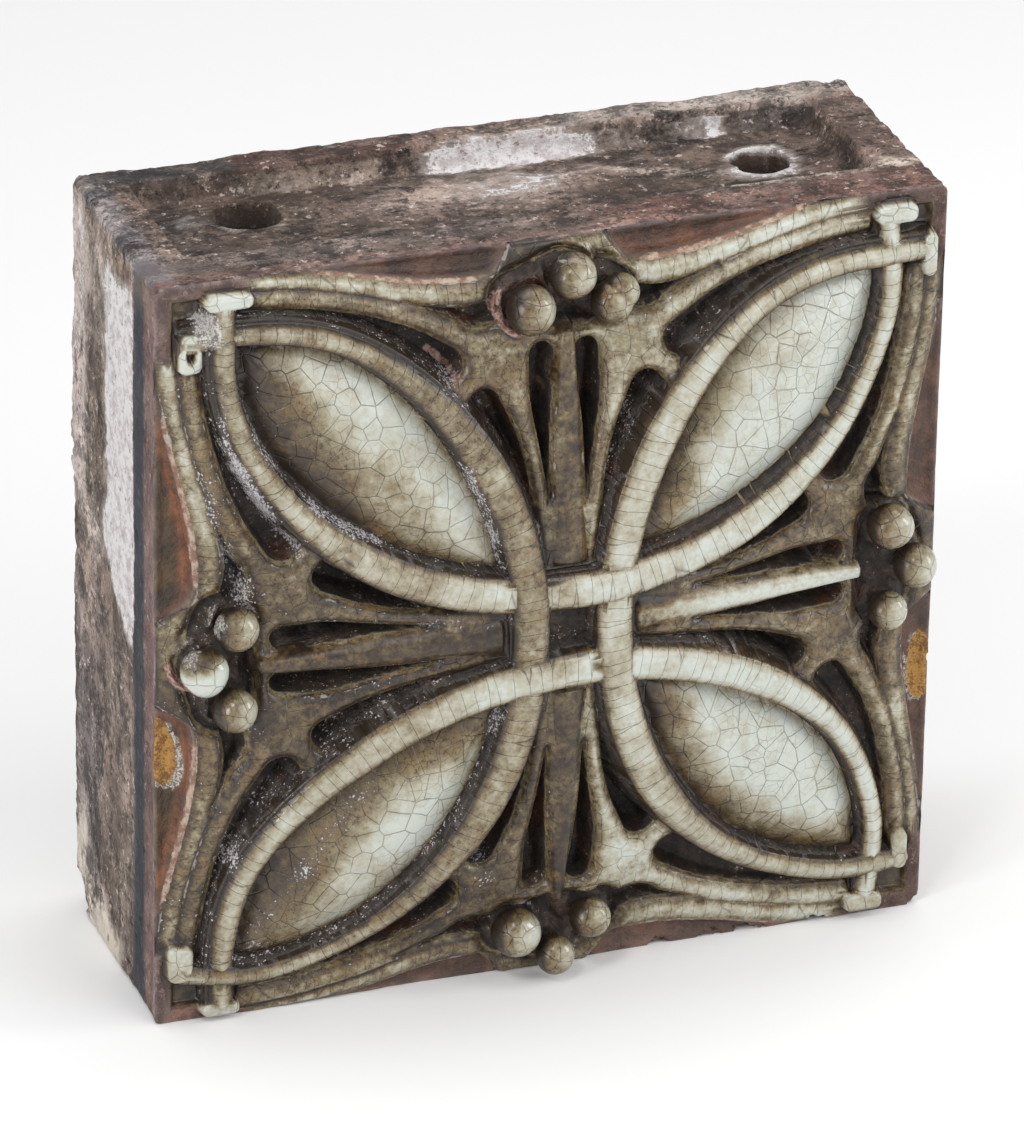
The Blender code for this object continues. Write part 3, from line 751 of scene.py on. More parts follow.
def side_colours(p, dy):
    """The bare clay's colour on the beds, ends, back, pocket and cells."""
    x, v, z = p[:, 0] / WIDTH, dy / WIDTH, p[:, 2] / WIDTH
    n1, n2 = fbm(p, 30, 3, 90), fbm(p, 75, 3, 94)
    one = np.ones(len(x))
    end = tinted((112, 97, 86), [
        (smooth(.5 + 1.0 * n1), (130, 115, 104)), (smooth(.1 + 1.6 * n2), (74, 62, 56)),
        (step(z, .57, .50) * .55, (92, 78, 68)),
        (step(v, .20, .26) * step(z, .50, .25) * .75, (72, 68, 74)),
        (step(v, .265, .295) * step(z, .54, .60) * .9, (186, 173, 170)),
        (blob(v, z, .24, .88, .05, .09) * .75, (150, 138, 130)), (blob(v, z, .25, .56, .05, .035) * .7, (186, 176, 172)),
        (blob(v, z, .22, .73, .03, .10) * .65, (96, 82, 70)),
        (blob(v, z, .27, .48, .03, .08) * .7, (150, 134, 120)),
        (streak(v, z, ((.12, .40), (.11, .22), (.14, .06)), .035) * .55, (134, 122, 110)),
        (streak(v, z, ((.31, .50), (.30, .36), (.31, .20)), .02) * .6, (150, 140, 138)),
        (step(v, .046, .052) * step(v, .094, .086) * .96, (34, 38, 48)),
        (step(v, .050, .044) * .90, (108, 80, 76)),
        (step(v, .012, .004) * .8, (112, 90, 88)), (step(v, .006, .002) * .6, (168, 158, 164)), (step(z, .92, .955) * .6, (116, 98, 84)),
        (step(z, .10, .04) * step(v, .17, .21) * .95, (216, 206, 192)), (step(z, .16, .10) * step(v, .27, .30) * .8, (206, 196, 184)),
    ])
    top = tinted((104, 84, 74), [
        (smooth(.4 + .9 * n1) * .8, (136, 116, 104)), (smooth(.1 + 1.3 * n2) * .7, (74, 60, 54)),
        (step(x, -.455, -.475) * .8, (118, 116, 124)), (step(x, .44, .47) * .6, (96, 78, 68)),
        (step(v, .070, .075) * step(v, .092, .086) * step(x, .14, .20) * .75, (190, 178, 164)),
        (step(v, .028, .018) * .85, (122, 92, 84)), (step(x, -.05, .15) * step(v, .08, .06) * .65, (104, 66, 56)),
        (step(v, .006, .001) * .6, (150, 130, 130)), (step(v, .078, .070) * step(v, .030, .040) * step(x, .05, -.10) * .5, (92, 84, 84)),
        (blob(x, v, .22, .07, .05, .012) * .8, (52, 42, 38)), (blob(x, v, .02, .035, .05, .012) * .7, (58, 46, 42)),
        (step(v, .29, .31) * step(x, -.365, -.38) * .9, (40, 40, 46)),
        (step(v, .29, .31) * step(x, -.38, -.365) * step(x, -.29, -.31) * .9, (46, 42, 42)),
        (step(v, .29, .31) * step(x, -.31, -.29) * step(x, -.07, -.09) * .9, (76, 48, 42)),
        (step(v, .29, .31) * step(x, .06, .14) * .75, (158, 150, 144)),
    ])
    floor = tinted((78, 62, 52), [
        (smooth(.4 + .9 * n1) * .6, (86, 70, 60)), (smooth(.1 + 1.3 * n2) * .6, (60, 48, 42)),
        (step(x, -.37, -.40) * .85, (50, 42, 40)), (blob(x, v, -.376, .235, .03, .02) * .8, (150, 148, 150)),
        (blob(x, v, -.02, .215, .16, .06) * .8, (176, 156, 146)),
        (blob(x, v, .36, .175, .07, .06) * .8, (66, 46, 42)),
        (streak(x, v, ((.144, .235), (.294, .175)), .016) * .8, (172, 158, 146)),
        (blob(x, v, .335, .165, .045, .02) * .55, (196, 186, 178)),
        (blob(x, v, -.31, .24, .065, .06) * .6, (84, 62, 44)),
        (smooth(1.25 - np.hypot(x + .31, v - .239) / .060) * .6, (62, 46, 36)), (smooth(1.2 - np.hypot(x - .335, v - .200) / .055) * .6, (70, 44, 38)),
    ])
    wall = tinted((86, 70, 62), [
        (step(x, -.31, -.28) * step(x, -.06, -.14) * .75, (150, 134, 120)),
        (step(x, .20, .22) * step(x, .32, .29) * .9, (46, 36, 32)), (blob(x, z, .025, .967, .025, .02) * .9, (58, 46, 40)),
        (step(x, .33, .35) * .8, (66, 62, 62)),
    ])
    back = tinted((104, 84, 72), [(smooth(.4 + .9 * n1) * .8, (124, 102, 88)), (smooth(.1 + 1.3 * n2) * .6, (80, 64, 56))])
    on_end = np.abs(p[:, 0]) > 0.1915
    on_top = p[:, 2] > HEIGHT - 0.0045
    in_pocket = (p[:, 2] > HEIGHT - 0.060) & (p[:, 2] <= HEIGHT - 0.0045) & (dy > .030) & (dy < .122) & (np.abs(p[:, 0]) < .178)
    out = back
    for where, colours in ((on_end & (p[:, 0] < 0), end), (on_end & (p[:, 0] > 0), 0.5 * (end[:, :] * 0 + np.array((96, 78, 68))) + .5 * back),
                           (on_top, top), (in_pocket, floor), (in_pocket & (dy > .113) & (p[:, 2] > HEIGHT - .0135), wall)):
        out = np.where(where[:, None], colours, out)
    out = tinted(out, [(torn_corner(p, dy) * .95, (214, 204, 190))])
    # painted shade down the insides of the two holes
    for hx, hv, rad in ((-.31, .239, .039), (.335, .200, .035)):
        shaft = smooth(1.6 - np.hypot(x - hx, v - hv) / rad * 1.25) * (p[:, 2] < HEIGHT - 0.0155) * (p[:, 2] > HEIGHT - .06)
        out = tinted(out, [(np.clip(shaft * 1.6, 0, 1) * .85, (40, 30, 25))])
    # painted shade: the insides of the cells darkened
    deep = (np.abs(p[:, 0]) < 0.174) & (dy > 0.030) & (dy < 0.136) & (p[:, 2] < HEIGHT - 0.042) & (p[:, 2] > 0.026)
    out = np.where(deep[:, None], out * 0.86, out)
    return out / 255.0


def torn_corner(p, dy):
    """Where pale clay shows along the torn lower edge of the left end."""
    x, v, z = p[:, 0] / WIDTH, dy / WIDTH, p[:, 2] / WIDTH
    n = fbm(p * np.array((1, 1, .5)), 60, 4, 96)
    along = step(v, .11, .16) * step(z, .062, .030) + step(v, .255, .300) * step(z, .20, .11)
    return step(-x, .395, .450) * np.clip(along, 0, 1) * step(n, -.38, -.02)


def add_masks(ob):
    me = ob.data
    n = len(me.vertices)
    p = np.empty(n * 3, np.float32)
    me.vertices.foreach_get("co", p)
    p = p.reshape(-1, 3).astype(float)
    nor = np.empty(n * 3, np.float32)
    me.vertices.foreach_get("normal", nor)
    nor = nor.reshape(-1, 3)
    x, w = p[:, 0] / WIDTH, p[:, 2] / WIDTH - H2
    dy = p[:, 1] - MARGIN_Y
    tall = -dy / WIDTH
    x = np.clip(x, -.5, .5)
    w = np.clip(w, -H2, H2)
    h, info = relief(x, w, True)
    kind = info["kind"]
    edge_d = np.minimum(0.5 - np.abs(x), H2 - np.abs(w))
    front = (dy < 0.0045) & ~((edge_d < 0.0045) & (nor[:, 1] > -0.35))
    front = front.astype(float)
    px, pw = info["px"], info["pw"]
    side_top = pw >= np.abs(px)
    side_bot = -pw > np.abs(px)
    side_r = (px > np.abs(pw))
    side_l = (-px >= np.abs(pw))
    ax, aw = np.abs(px), np.abs(pw)

    # berries
    ball = np.full(n, 9.0)
    ball_lean = np.zeros(n)
    for bx, bw, rad, up in BERRIES:
        c = np.array([bx * WIDTH, MARGIN_Y - up * WIDTH, (bw + H2) * WIDTH])
        off = p - c
        d = np.linalg.norm(off, axis=1) / (rad * WIDTH)
        near = d < ball
        ball = np.where(near, d, ball)
        # how far each point faces the right front, for painted shading
        ball_lean = np.where(near, (off @ np.array((0.62, -0.70, 0.10))) / (rad * WIDTH), ball_lean)
    is_ball = (ball < 1.10) & (tall > 0.016)

    petal, band, plate, stalk, cap = (kind == 8), (kind == 1), (kind == 2), (kind == 6), (kind == 9)
    small, broad = hollows(x, w, tall, (0.0055, 0.016))
    crease = np.clip(small / 0.0045, 0, 1.5)
    hollow = np.clip(broad / 0.014, 0, 1.5)

    # depth below the rounded top of whatever the point belongs to; the glaze is painted darker the deeper it lies:
    # painted shade in the wells, niches and hub
    top_line = np.where(band | petal, info["high"], np.where(stalk, 0.067 - (info["r"] - 0.08) * 0.083, info["plate"]))
    sink = top_line - tall
    allow = np.where(band, 0.0105, np.where(stalk, 0.0120, np.where(petal, 9.0, 0.0085)))
    below = smooth((sink - allow) / 0.009)
    below = np.where((kind == 4) | (kind == 5) | cap | is_ball, 0.0, below)
    below = np.where(kind == 10, 0.85, below)
    below = np.where((kind == 3) & (sink > allow), np.maximum(below, .2), below)
    niche = np.where((kind == 3) & (info["niche"] < info["well"] + 1e-6), 1.0, 0.0) * (1 - is_ball)
    below = np.where(niche > .5, np.maximum(below, step(-info["niche"], .0, .008) * .78), below)

    # how dark the glaze is painted: brown film and painted shade together
    dirt_and_shade = np.full(n, 0.6)
    # petals: each is brown along its left edge and in its grooves and lighter towards the right: brown film and painted
    # shade together
    ev_, eh_ = info["petal_v"], info["petal_h"]
    ul, ur, ll, lr = ((px * a > 0) & (pw * b > 0) for a, b in ((-1, 1), (1, 1), (-1, -1), (1, -1)))
    left_e = np.where(ul | ll, ev_, eh_)
    right_e = np.where(ul | ll, eh_, ev_)
    # grooves beside the bands darkened: painted shade with dirt
    groove = smooth(1 - right_e / 0.020) * step(right_e, -.012, .0)
    lgroove = smooth(1 - left_e / 0.011)
    pu = step(-px - 0.44 * (pw - .13), .195, .285)                                   # the brown third of the upper left petal
    pd = np.zeros(n)
    pd += ul * (.12 + .68 * pu + .26 * smooth(1 - left_e / .060) + .26 * blob(px, pw, -.24, .20, .10, .045, -45))
    pd += ur * (.03 + .66 * smooth(1.04 - left_e / .072) * step(px, .40, .18) + .16 * blob(px, pw, .12, .14, .05, .05, 50) - .14 * step(px + pw, .46, .62)
                + .10 * smooth(1 - left_e / .03))
    pd += ll * (.03 + .62 * smooth(1 - left_e / .125) + .22 * step(-px - pw, .44, .66) + .16 * blob(px, pw, -.30, -.25, .13, .035, 48)
                - .16 * blob(px, pw, -.19, -.20, .07, .06, 45))
    pd += lr * (.03 + .66 * smooth(1.08 - left_e / .078) + .30 * blob(px, pw, .11, -.12, .05, .06, -50) - .04 * step(px - pw, .46, .62))
    pd += .36 * groove + .20 * lgroove + .16 * blob(px, pw, 0.0, 0.0, .13, .13)
    dirt_and_shade = np.where(petal, pd, dirt_and_shade)

    # bands, lighter to the right and darker at their edges; plates, stalks, caps: brown film together with painted
    # shade
    bd = np.abs(info["band_d"])
    own = info["owner"]
    tone_top = np.where(px < 0, .46 - .20 * blob(px, pw, -.10, .10, .09, .09), .22 + .08 * blob(px, pw, .12, .20, .06, .08) - .04 * step(px, .30, .40))
    tone_right = np.where(pw > 0, .28, .32) - .16 * blob(px, pw, .20, -.10, .12, .08)
    tone_bot = np.where(px < 0, .36 - .18 * blob(px, pw, -.08, -.10, .08, .08), .14)
    tone_left = np.where(pw > 0, .56, .52) + .12 * blob(px, pw, -.33, .22, .10, .12)
    tone = np.choose(np.clip(own, 0, 3), (tone_top, tone_right, tone_bot, tone_left))
    edge_in = bd - info["band_w"]
    # band edges darkened: painted shade with the film
    band_dirt_and_shade = tone - .12 + 0.10 * step(edge_in, -0.0090, -0.0030) + 0.26 * step(edge_in, -0.0030, 0.0010) + 0.46 * step(edge_in, 0.0005, 0.0050)
    dirt_and_shade = np.where(band, band_dirt_and_shade, dirt_and_shade)
    sgn = step(info["s"], -.06, .06)
    outer = step(info["seam"], .0, .006) * step(info["r"] - .5 * (branch_line(np.clip(info["t"], .18, .42)) + outer_line(np.clip(info["t"], .18, .42))), -.002, .003)
    t_ = info["t"]
    # plates darker on the left than on the right: film and painted shade
    plate_dirt_and_shade = (side_top * (.66 - .27 * sgn) + side_bot * (.80 - .50 * sgn)
             + side_l * np.where(pw > 0, .76, .84) + side_r * np.where(pw > 0, .70, .66))
    branch = step(t_, .14, .20) * step(info["r"], .38, .40)
    plate_dirt_and_shade += branch * (side_top * np.where(px < 0, -.06, -.08) + side_bot * np.where(px < 0, -.14, -.06) + side_l * -.06 + side_r * -.18)
    plate_dirt_and_shade += outer * (side_top * np.where(px < 0, -.20, -.12) + side_bot * (px < 0) * -.16)
    hood = step(t_, .105, .075) * step(info["r"], .385, .41)
    hood_tone = (side_top * np.where(px < 0, .96, .52) + side_bot * np.where(px < 0, .72, .60) + side_l * .98 + side_r * .84)
    plate_dirt_and_shade = plate_dirt_and_shade * (1 - hood) + hood * hood_tone
    plate_dirt_and_shade += side_l * (np.where(pw > 0, -.10, -.06) * branch + np.where(pw > 0, -.26, -.14) * outer)
    # painted shade along the plates' edges and a painted highlight on their crests
    plate_dirt_and_shade = plate_dirt_and_shade + 0.26 * step(info["plate_edge"], 0.009, 0.000) - .08 * step(info["plate_edge"], .005, .012)
    dirt_and_shade = np.where(plate, plate_dirt_and_shade, dirt_and_shade)
    # stalks darker on their flanks and lighter along the crest: painted shading of their rounding, with film
    stalk_dirt_and_shade = (side_top * .72 + side_bot * .86 + side_l * .90
             + side_r * (.06 + .62 * step(pw, .004, .018) + .35 * step(-pw, .008, .018) + .35 * step(px, .16, .10)))
    dirt_and_shade = np.where(stalk, stalk_dirt_and_shade + .2 * step(np.abs(info["s"]) / .028, .6, 1.0), dirt_and_shade)
    # caps darker in their creases and hollows: painted shade
    dirt_and_shade = np.where(cap, np.where(pw > 0, .06, np.where(px < 0, .16, .22)) + .8 * hollow + .5 * np.clip(crease, 0, 1), dirt_and_shade)
    # berries: painted shading, lighter towards the right front and darker on the far side, with a painted contact
    # shadow round each foot
    ball_dirt_and_shade = np.where(side_l, .78, np.where(side_bot, .80, np.where(side_r, .68, .82)))
    dirt_and_shade = np.where(is_ball, ball_dirt_and_shade - 0.62 * ball_lean + .60 * step(ball_lean, .15, -.65) + .60 * step(ball, 1.015, 1.07), dirt_and_shade)
    # creases and hollows darkened: dirt and painted shade
    dirt_and_shade = dirt_and_shade + np.where(petal, .22, .42) * np.clip(crease, 0, 1) + np.where(band | plate, .22, 0) * np.clip(hollow - .15, 0, 1)

    bare = np.where(kind == 4, step(info["inside"], 0.0, -0.006), 0.0)
    framed = step(np.minimum(0.5 - ax, H2 - aw) - .020, .003, -.002)
    bare = np.where(kind == 5, framed, bare)
    # corner squares darker in their hollows: painted shade
    dirt_and_shade = np.where(kind == 5, .62 + .5 * (1 - framed) * smooth(hollow), dirt_and_shade)
    scoop = np.where(kind == 4, step(info["t"], .36, .30) * step(info["t"], .05, .08) * step(info["inside"], -.002, -.006), 0.0)
    rim = np.where((kind == 4) | (kind == 2), np.exp(-((info["inside"] + .0008) / .0030) ** 2) * step(info["t"], .36, .30) * step(info["t"], .09, .11), 0.0)
    rim = rim * (side_top * .85 + side_l * 1.0 + side_bot * .6 + side_r * .5)

    # grey dust that lies in the creases, most on the left
    crev = np.zeros(n)
    crev = np.where(petal, step(right_e, 0.016, 0.004) * np.where(ul | ll, 1.25, .35) + .55 * lgroove * np.where(ul | ll, 1., .6), crev)
    crev = np.where(band, step(edge_in, 0.000, 0.005) * .9, crev)
    crev = np.where(kind == 3, 0.50, crev)
    crev = np.where(kind == 10, 0.9, crev)
    crev = np.where(plate, step(info["plate_edge"], 0.004, -.001) * .7, crev)
    crev = np.where(is_ball, step(ball, 1.02, 1.1) * 0.6, crev)
    crev = crev * (0.50 + 0.35 * step(-x, -.1, .3))
    lay = (.95 * streak(x, w, ((-.38, -.38), (-.30, -.25), (-.24, -.165)), .030)
           + .8 * streak(x, w, ((-.40, -.405), (-.27, -.372), (-.16, -.27), (-.085, -.10)), .014)
           + .6 * blob(x, w, -.375, .30, .030, .09, -12) + .8 * streak(x, w, ((-.35, .22), (-.27, .165), (-.20, .140)), .014)
           + .7 * blob(x, w, -.13, .025, .06, .014) + .6 * streak(x, w, ((-.37, .08), (-.28, .045), (-.16, .035)), .02)
           + .9 * streak(x, w, ((-.44, .24), (-.43, .17), (-.40, .10), (-.385, .05)), .020) + .5 * streak(x, w, ((-.45, -.1), (-.44, -.25)), .02)
           + .95 * streak(x, w, ((-.13, .24), (-.105, .17), (-.085, .10)), .009) + .7 * blob(x, w, .10, -.335, .02, .02)
           + .8 * streak(x, w, ((-.425, .37), (-.415, .28), (-.36, .18), (-.33, .14)), .011)
           + 1.0 * blob(x, w, -.440, .440, .020, .030) + .5 * blob(x, w, .09, .38, .02, .01)
           + .7 * blob(x, w, -.09, -.33, .03, .03) + .5 * blob(x, w, .45, .1, .02, .03)
           + .6 * blob(x, w, -.14, .33, .012, .03, 30) + .6 * streak(x, w, ((-.42, -.20), (-.40, -.32)), .016)
           + .5 * streak(x, w, ((.06, .20), (.10, .30), (.17, .38)), .012))
    dust = np.where(petal | plate | band | stalk | (kind == 3), .84, .5) * np.clip(lay, 0, 1)
    dust = np.where(plate & side_l, np.maximum(dust, .36 + .20 * noise(p, 60, 64)), dust)
    dust = np.where(plate & side_bot & (px < .05), np.maximum(dust, .26 + .20 * noise(p, 60, 64)), dust)
    dust = np.where(is_ball, .15 * step(ball, 1.0, 1.1), dust)

    # torn pinkish collars and crusts beside the berries
    flesh = np.zeros(n)
    white = np.zeros(n)
    for m, toward, spread, rise in COLLARS:
        bx, bw, rad, _ = BERRIES[m]
        d = np.hypot(x - bx, w - bw)
        turn = np.abs((np.degrees(np.arctan2(w - bw, x - bx)) - toward + 180) % 360 - 180)
        k = smooth(1.25 - turn / spread) * np.exp(-((d - rad - 0.0050) / 0.0060) ** 2)
        if m == 0 or (m == 5 and toward > 200):
            flesh = np.maximum(flesh, k)
        elif m in (4, 5, 6):
            k = smooth(1.25 - turn / spread) * np.exp(-((d - rad - 0.0010) / (.0060 if m == 6 else .0095)) ** 2)
            white = np.maximum(white, (.48 if m == 6 else .58) * k)
        elif m == 7:
            white = np.maximum(white, .45 * k)
    flesh = np.where(is_ball, 0, flesh)
    bx, bw, rad, up = BERRIES[5]
    hit = is_ball & (np.hypot(x - bx, w - bw) < rad * 1.1)
    flesh = np.maximum(flesh, hit * step((-(x - bx) * .72 - (w - bw) * .70) / rad, .80, .90))
    # this berry darker towards the top, and round its foot as a painted contact shadow
    dirt_and_shade = np.where(hit, .02 + .75 * step(((w - bw) * .8 - (x - bx) * .25) / rad, .10, .62) + .5 * step(ball, 1.03, 1.09), dirt_and_shade)
    flesh = np.maximum(flesh, .9 * streak(x, w, ((-.16, .365), (-.135, .34), (-.128, .322)), .010) * (kind == 3))
    white = np.where(is_ball, white * step(x, -.415, -.430) * step(w, -.02, .02), white)
    white = np.maximum(white, blob(x, w, -.437, .437, .021, .026) * .80)
    white = np.maximum(white, cap * step(pw, .4785, .4815) * (px < 0) * .55)
    # two chips through the glaze at the arrises, ochre inside a white broken line
    chip_l = smooth(1.5 - np.hypot((x + .492 + .16 * (w + .12)) / .0215, (w + .119) / .049) * 1.0)
    chip_r = smooth(1.5 - np.hypot((x - .488) / .0165, (w + .158) / .050) * 1.0)
    ochre = np.maximum(chip_l, chip_r) * ((kind == 4) | (kind == 5))
    shifted = smooth(1.5 - np.hypot((x + .4875 + .16 * (w + .124)) / .0240, (w + .127) / .050) * 1.0)
    white = np.maximum(white, np.where(kind == 4, .62 * step(shifted, .35, .55), 0.0))
    shifted = smooth(1.5 - np.hypot((x - .484) / .0180, (w + .160) / .053) * 1.0)
    white = np.maximum(white, np.where(kind == 4, .50 * step(shifted, .35, .55), 0.0))

    # where the fine cracks of the glaze are reckoned from
    wave = np.stack([noise(p, 55, 60), noise(p, 55, 61)], 1)
    craze = np.stack([px, pw], 1) / 0.0265 + 0.16 * wave
    craze_b = np.stack([info["band_u"] / 0.0165, info["band_d"] / 0.15 + 0.5 + 7.0 * own], 1) + 0.11 * wave
    craze_p = np.stack([info["s"] / 0.0175, info["r"] / 0.080 + 20.0], 1) + 0.12 * wave
    craze = np.where(band[:, None], craze_b, craze)
    craze = np.where((plate & (t_ > .09) & (info["r"] > .36))[:, None], craze_p, craze)
    craze = np.where(is_ball[:, None], p[:, [0, 2]] / 0.0085, craze)
    craze = np.column_stack([craze, np.zeros(n)])
    crk = np.where(petal, 1.0, np.where(band, 1.0, np.where(plate, .80, .25)))
    crk = np.where(is_ball | cap, 1.0, crk)

    masks = {"front": front, "dirt_and_shade": np.clip(dirt_and_shade, 0, 1.5), "below": below, "bare": bare, "crev": crev,
             "dust": dust, "scoop": scoop, "rim": rim, "crk": crk, "petal": petal * 1.0,
             "flesh": flesh, "white": white, "ochre": ochre,
             "worn": np.where(plate | band, np.exp(-((np.where(plate, info["plate_edge"], 9.0) - .0015) / .0016) ** 2), 0.0)
             * (side_l * 1.0 + side_bot * .8 + side_top * .9 + side_r * .8)}

    # the clay sides
    mort = np.where(p[:, 0] < -0.19, left_mortar(dy, p[:, 2]), 0.0)
    v = dy / WIDTH
    rear = step(v, .268, .290) * step(w + H2, .50, .60)                              # lime on the rear strip of the left end
    mort = np.maximum(mort, (p[:, 0] < -.19) * rear * (.30 + .22 * noise(p, 18, 71)))
    top = (p[:, 2] > HEIGHT - 0.016) & (front < .5)
    in_pocket = (p[:, 2] < HEIGHT - 0.0045)
    t_m = np.where(in_pocket, step(v, .272, .286) * (.90 * step(x, -.10, -.03) * step(x, .24, .06) + .30 * step(x, .15, .2) * step(x, .33, .29)), 0.0)
    t_m = np.maximum(t_m, ~in_pocket * .62 * step(v, .278, .288) * step(v, .322, .296) * step(x, -.08, -.02) * step(x, .20, .06))
    t_m = np.maximum(t_m, .8 * in_pocket * step(v, .272, .286) * blob(x, v, .31, .29, .016, .03))
    ring = np.exp(-((np.hypot(x - .335, v - .200) - .040) / .010) ** 2) + .6 * np.exp(-((np.hypot(x + .31, v - .239) - .046) / .008) ** 2) * step(v, .24, .22)
    t_m = np.maximum(t_m, .52 * ring * (p[:, 2] > HEIGHT - .0165) * in_pocket)
    t_m = np.maximum(t_m, .50 * in_pocket * step(v, .286, .270) * (.8 * blob(x, v, -.02, .230, .14, .04) + .9 * blob(x, v, .33, .165, .05, .02)))
    mort = np.where(top, np.maximum(mort, t_m), mort)
    plain = step(v, .046, .052) * step(v, .094, .086) * (p[:, 0] < -.19) * .88
    plain = np.maximum(plain, .45 * step(v, .050, .044) * (p[:, 0] < -.19))
    plain = np.maximum(plain, .85 * torn_corner(p, dy))
    for hx, hv, rad in ((-.31, .239, .039), (.335, .200, .035)):
        plain = np.maximum(plain, .8 * (np.hypot(x - hx, v - hv) < rad * 1.12) * (p[:, 2] < HEIGHT - .0160) * (p[:, 2] > HEIGHT - .06))
    masks.update(mortar=mort, plain=plain)
    for name, value in masks.items():
        at = me.attributes.new(name, "FLOAT", "POINT")
        at.data.foreach_set("value", np.ascontiguousarray(value, np.float32))
    at = me.attributes.new("craze", "FLOAT_VECTOR", "POINT")
    at.data.foreach_set("vector", np.ascontiguousarray(craze, np.float32).ravel())

    # the bare clay's own colour, on the sides and on the margins of the face
    tint = side_colours(p, dy)
    inside = info["inside"]
    margin = tinted((112, 90, 84), [
        (side_top * step(px, .05, -.05), (104, 84, 80)), (side_top * step(px, -.05, .05), (86, 66, 62)),
        (side_l * 1.0, (104, 82, 82)), (side_bot * 1.0, (128, 94, 82)), (side_r * 1.0, (110, 76, 64)),
        ((kind == 5) * (side_top | side_l) * .9, (112, 92, 86)), ((kind == 5) * (px > 0) * .8, (86, 68, 62)),
        (scoop * side_top * (px < 0), (86, 64, 56)), (scoop * side_top * (px > 0), (82, 56, 46)),
        (scoop * side_l * (pw > 0), (74, 60, 42)), (scoop * side_l * (pw < 0) * step(pw, -.10, -.18), (80, 62, 40)),
        (scoop * side_l * (pw < 0) * step(pw, -.18, -.10), (70, 49, 43)),
        (scoop * side_r, (98, 70, 58)), (scoop * side_bot, (108, 80, 68)),
        (scoop * side_l * step(inside, -.0165, -.0125) * step(inside, .0, -.004) * .85, (134, 80, 52)),
        (scoop * side_top * (px > 0) * step(inside, -.018, -.012) * .6, (118, 76, 58)),
        (np.exp(-(edge_d / .0032) ** 2) * .6, (158, 142, 144)),
    ]) / 255.0
    tint = np.where(front[:, None] > .5, margin, tint)
    tint = np.where(tint <= 0.04045, tint / 12.92, ((tint + 0.055) / 1.055) ** 2.4)
    at = me.attributes.new("tint", "FLOAT_COLOR", "POINT")
    at.data.foreach_set("color", np.ascontiguousarray(np.column_stack([tint, np.ones(n)]), np.float32).ravel())


# ============================================================================
# materials
def lin(r, g, b):
    out = []
    for c in (r, g, b):
        c /= 255.0
        out.append(c / 12.92 if c <= 0.04045 else ((c + 0.055) / 1.055) ** 2.4)
    return (*out, 1.0)


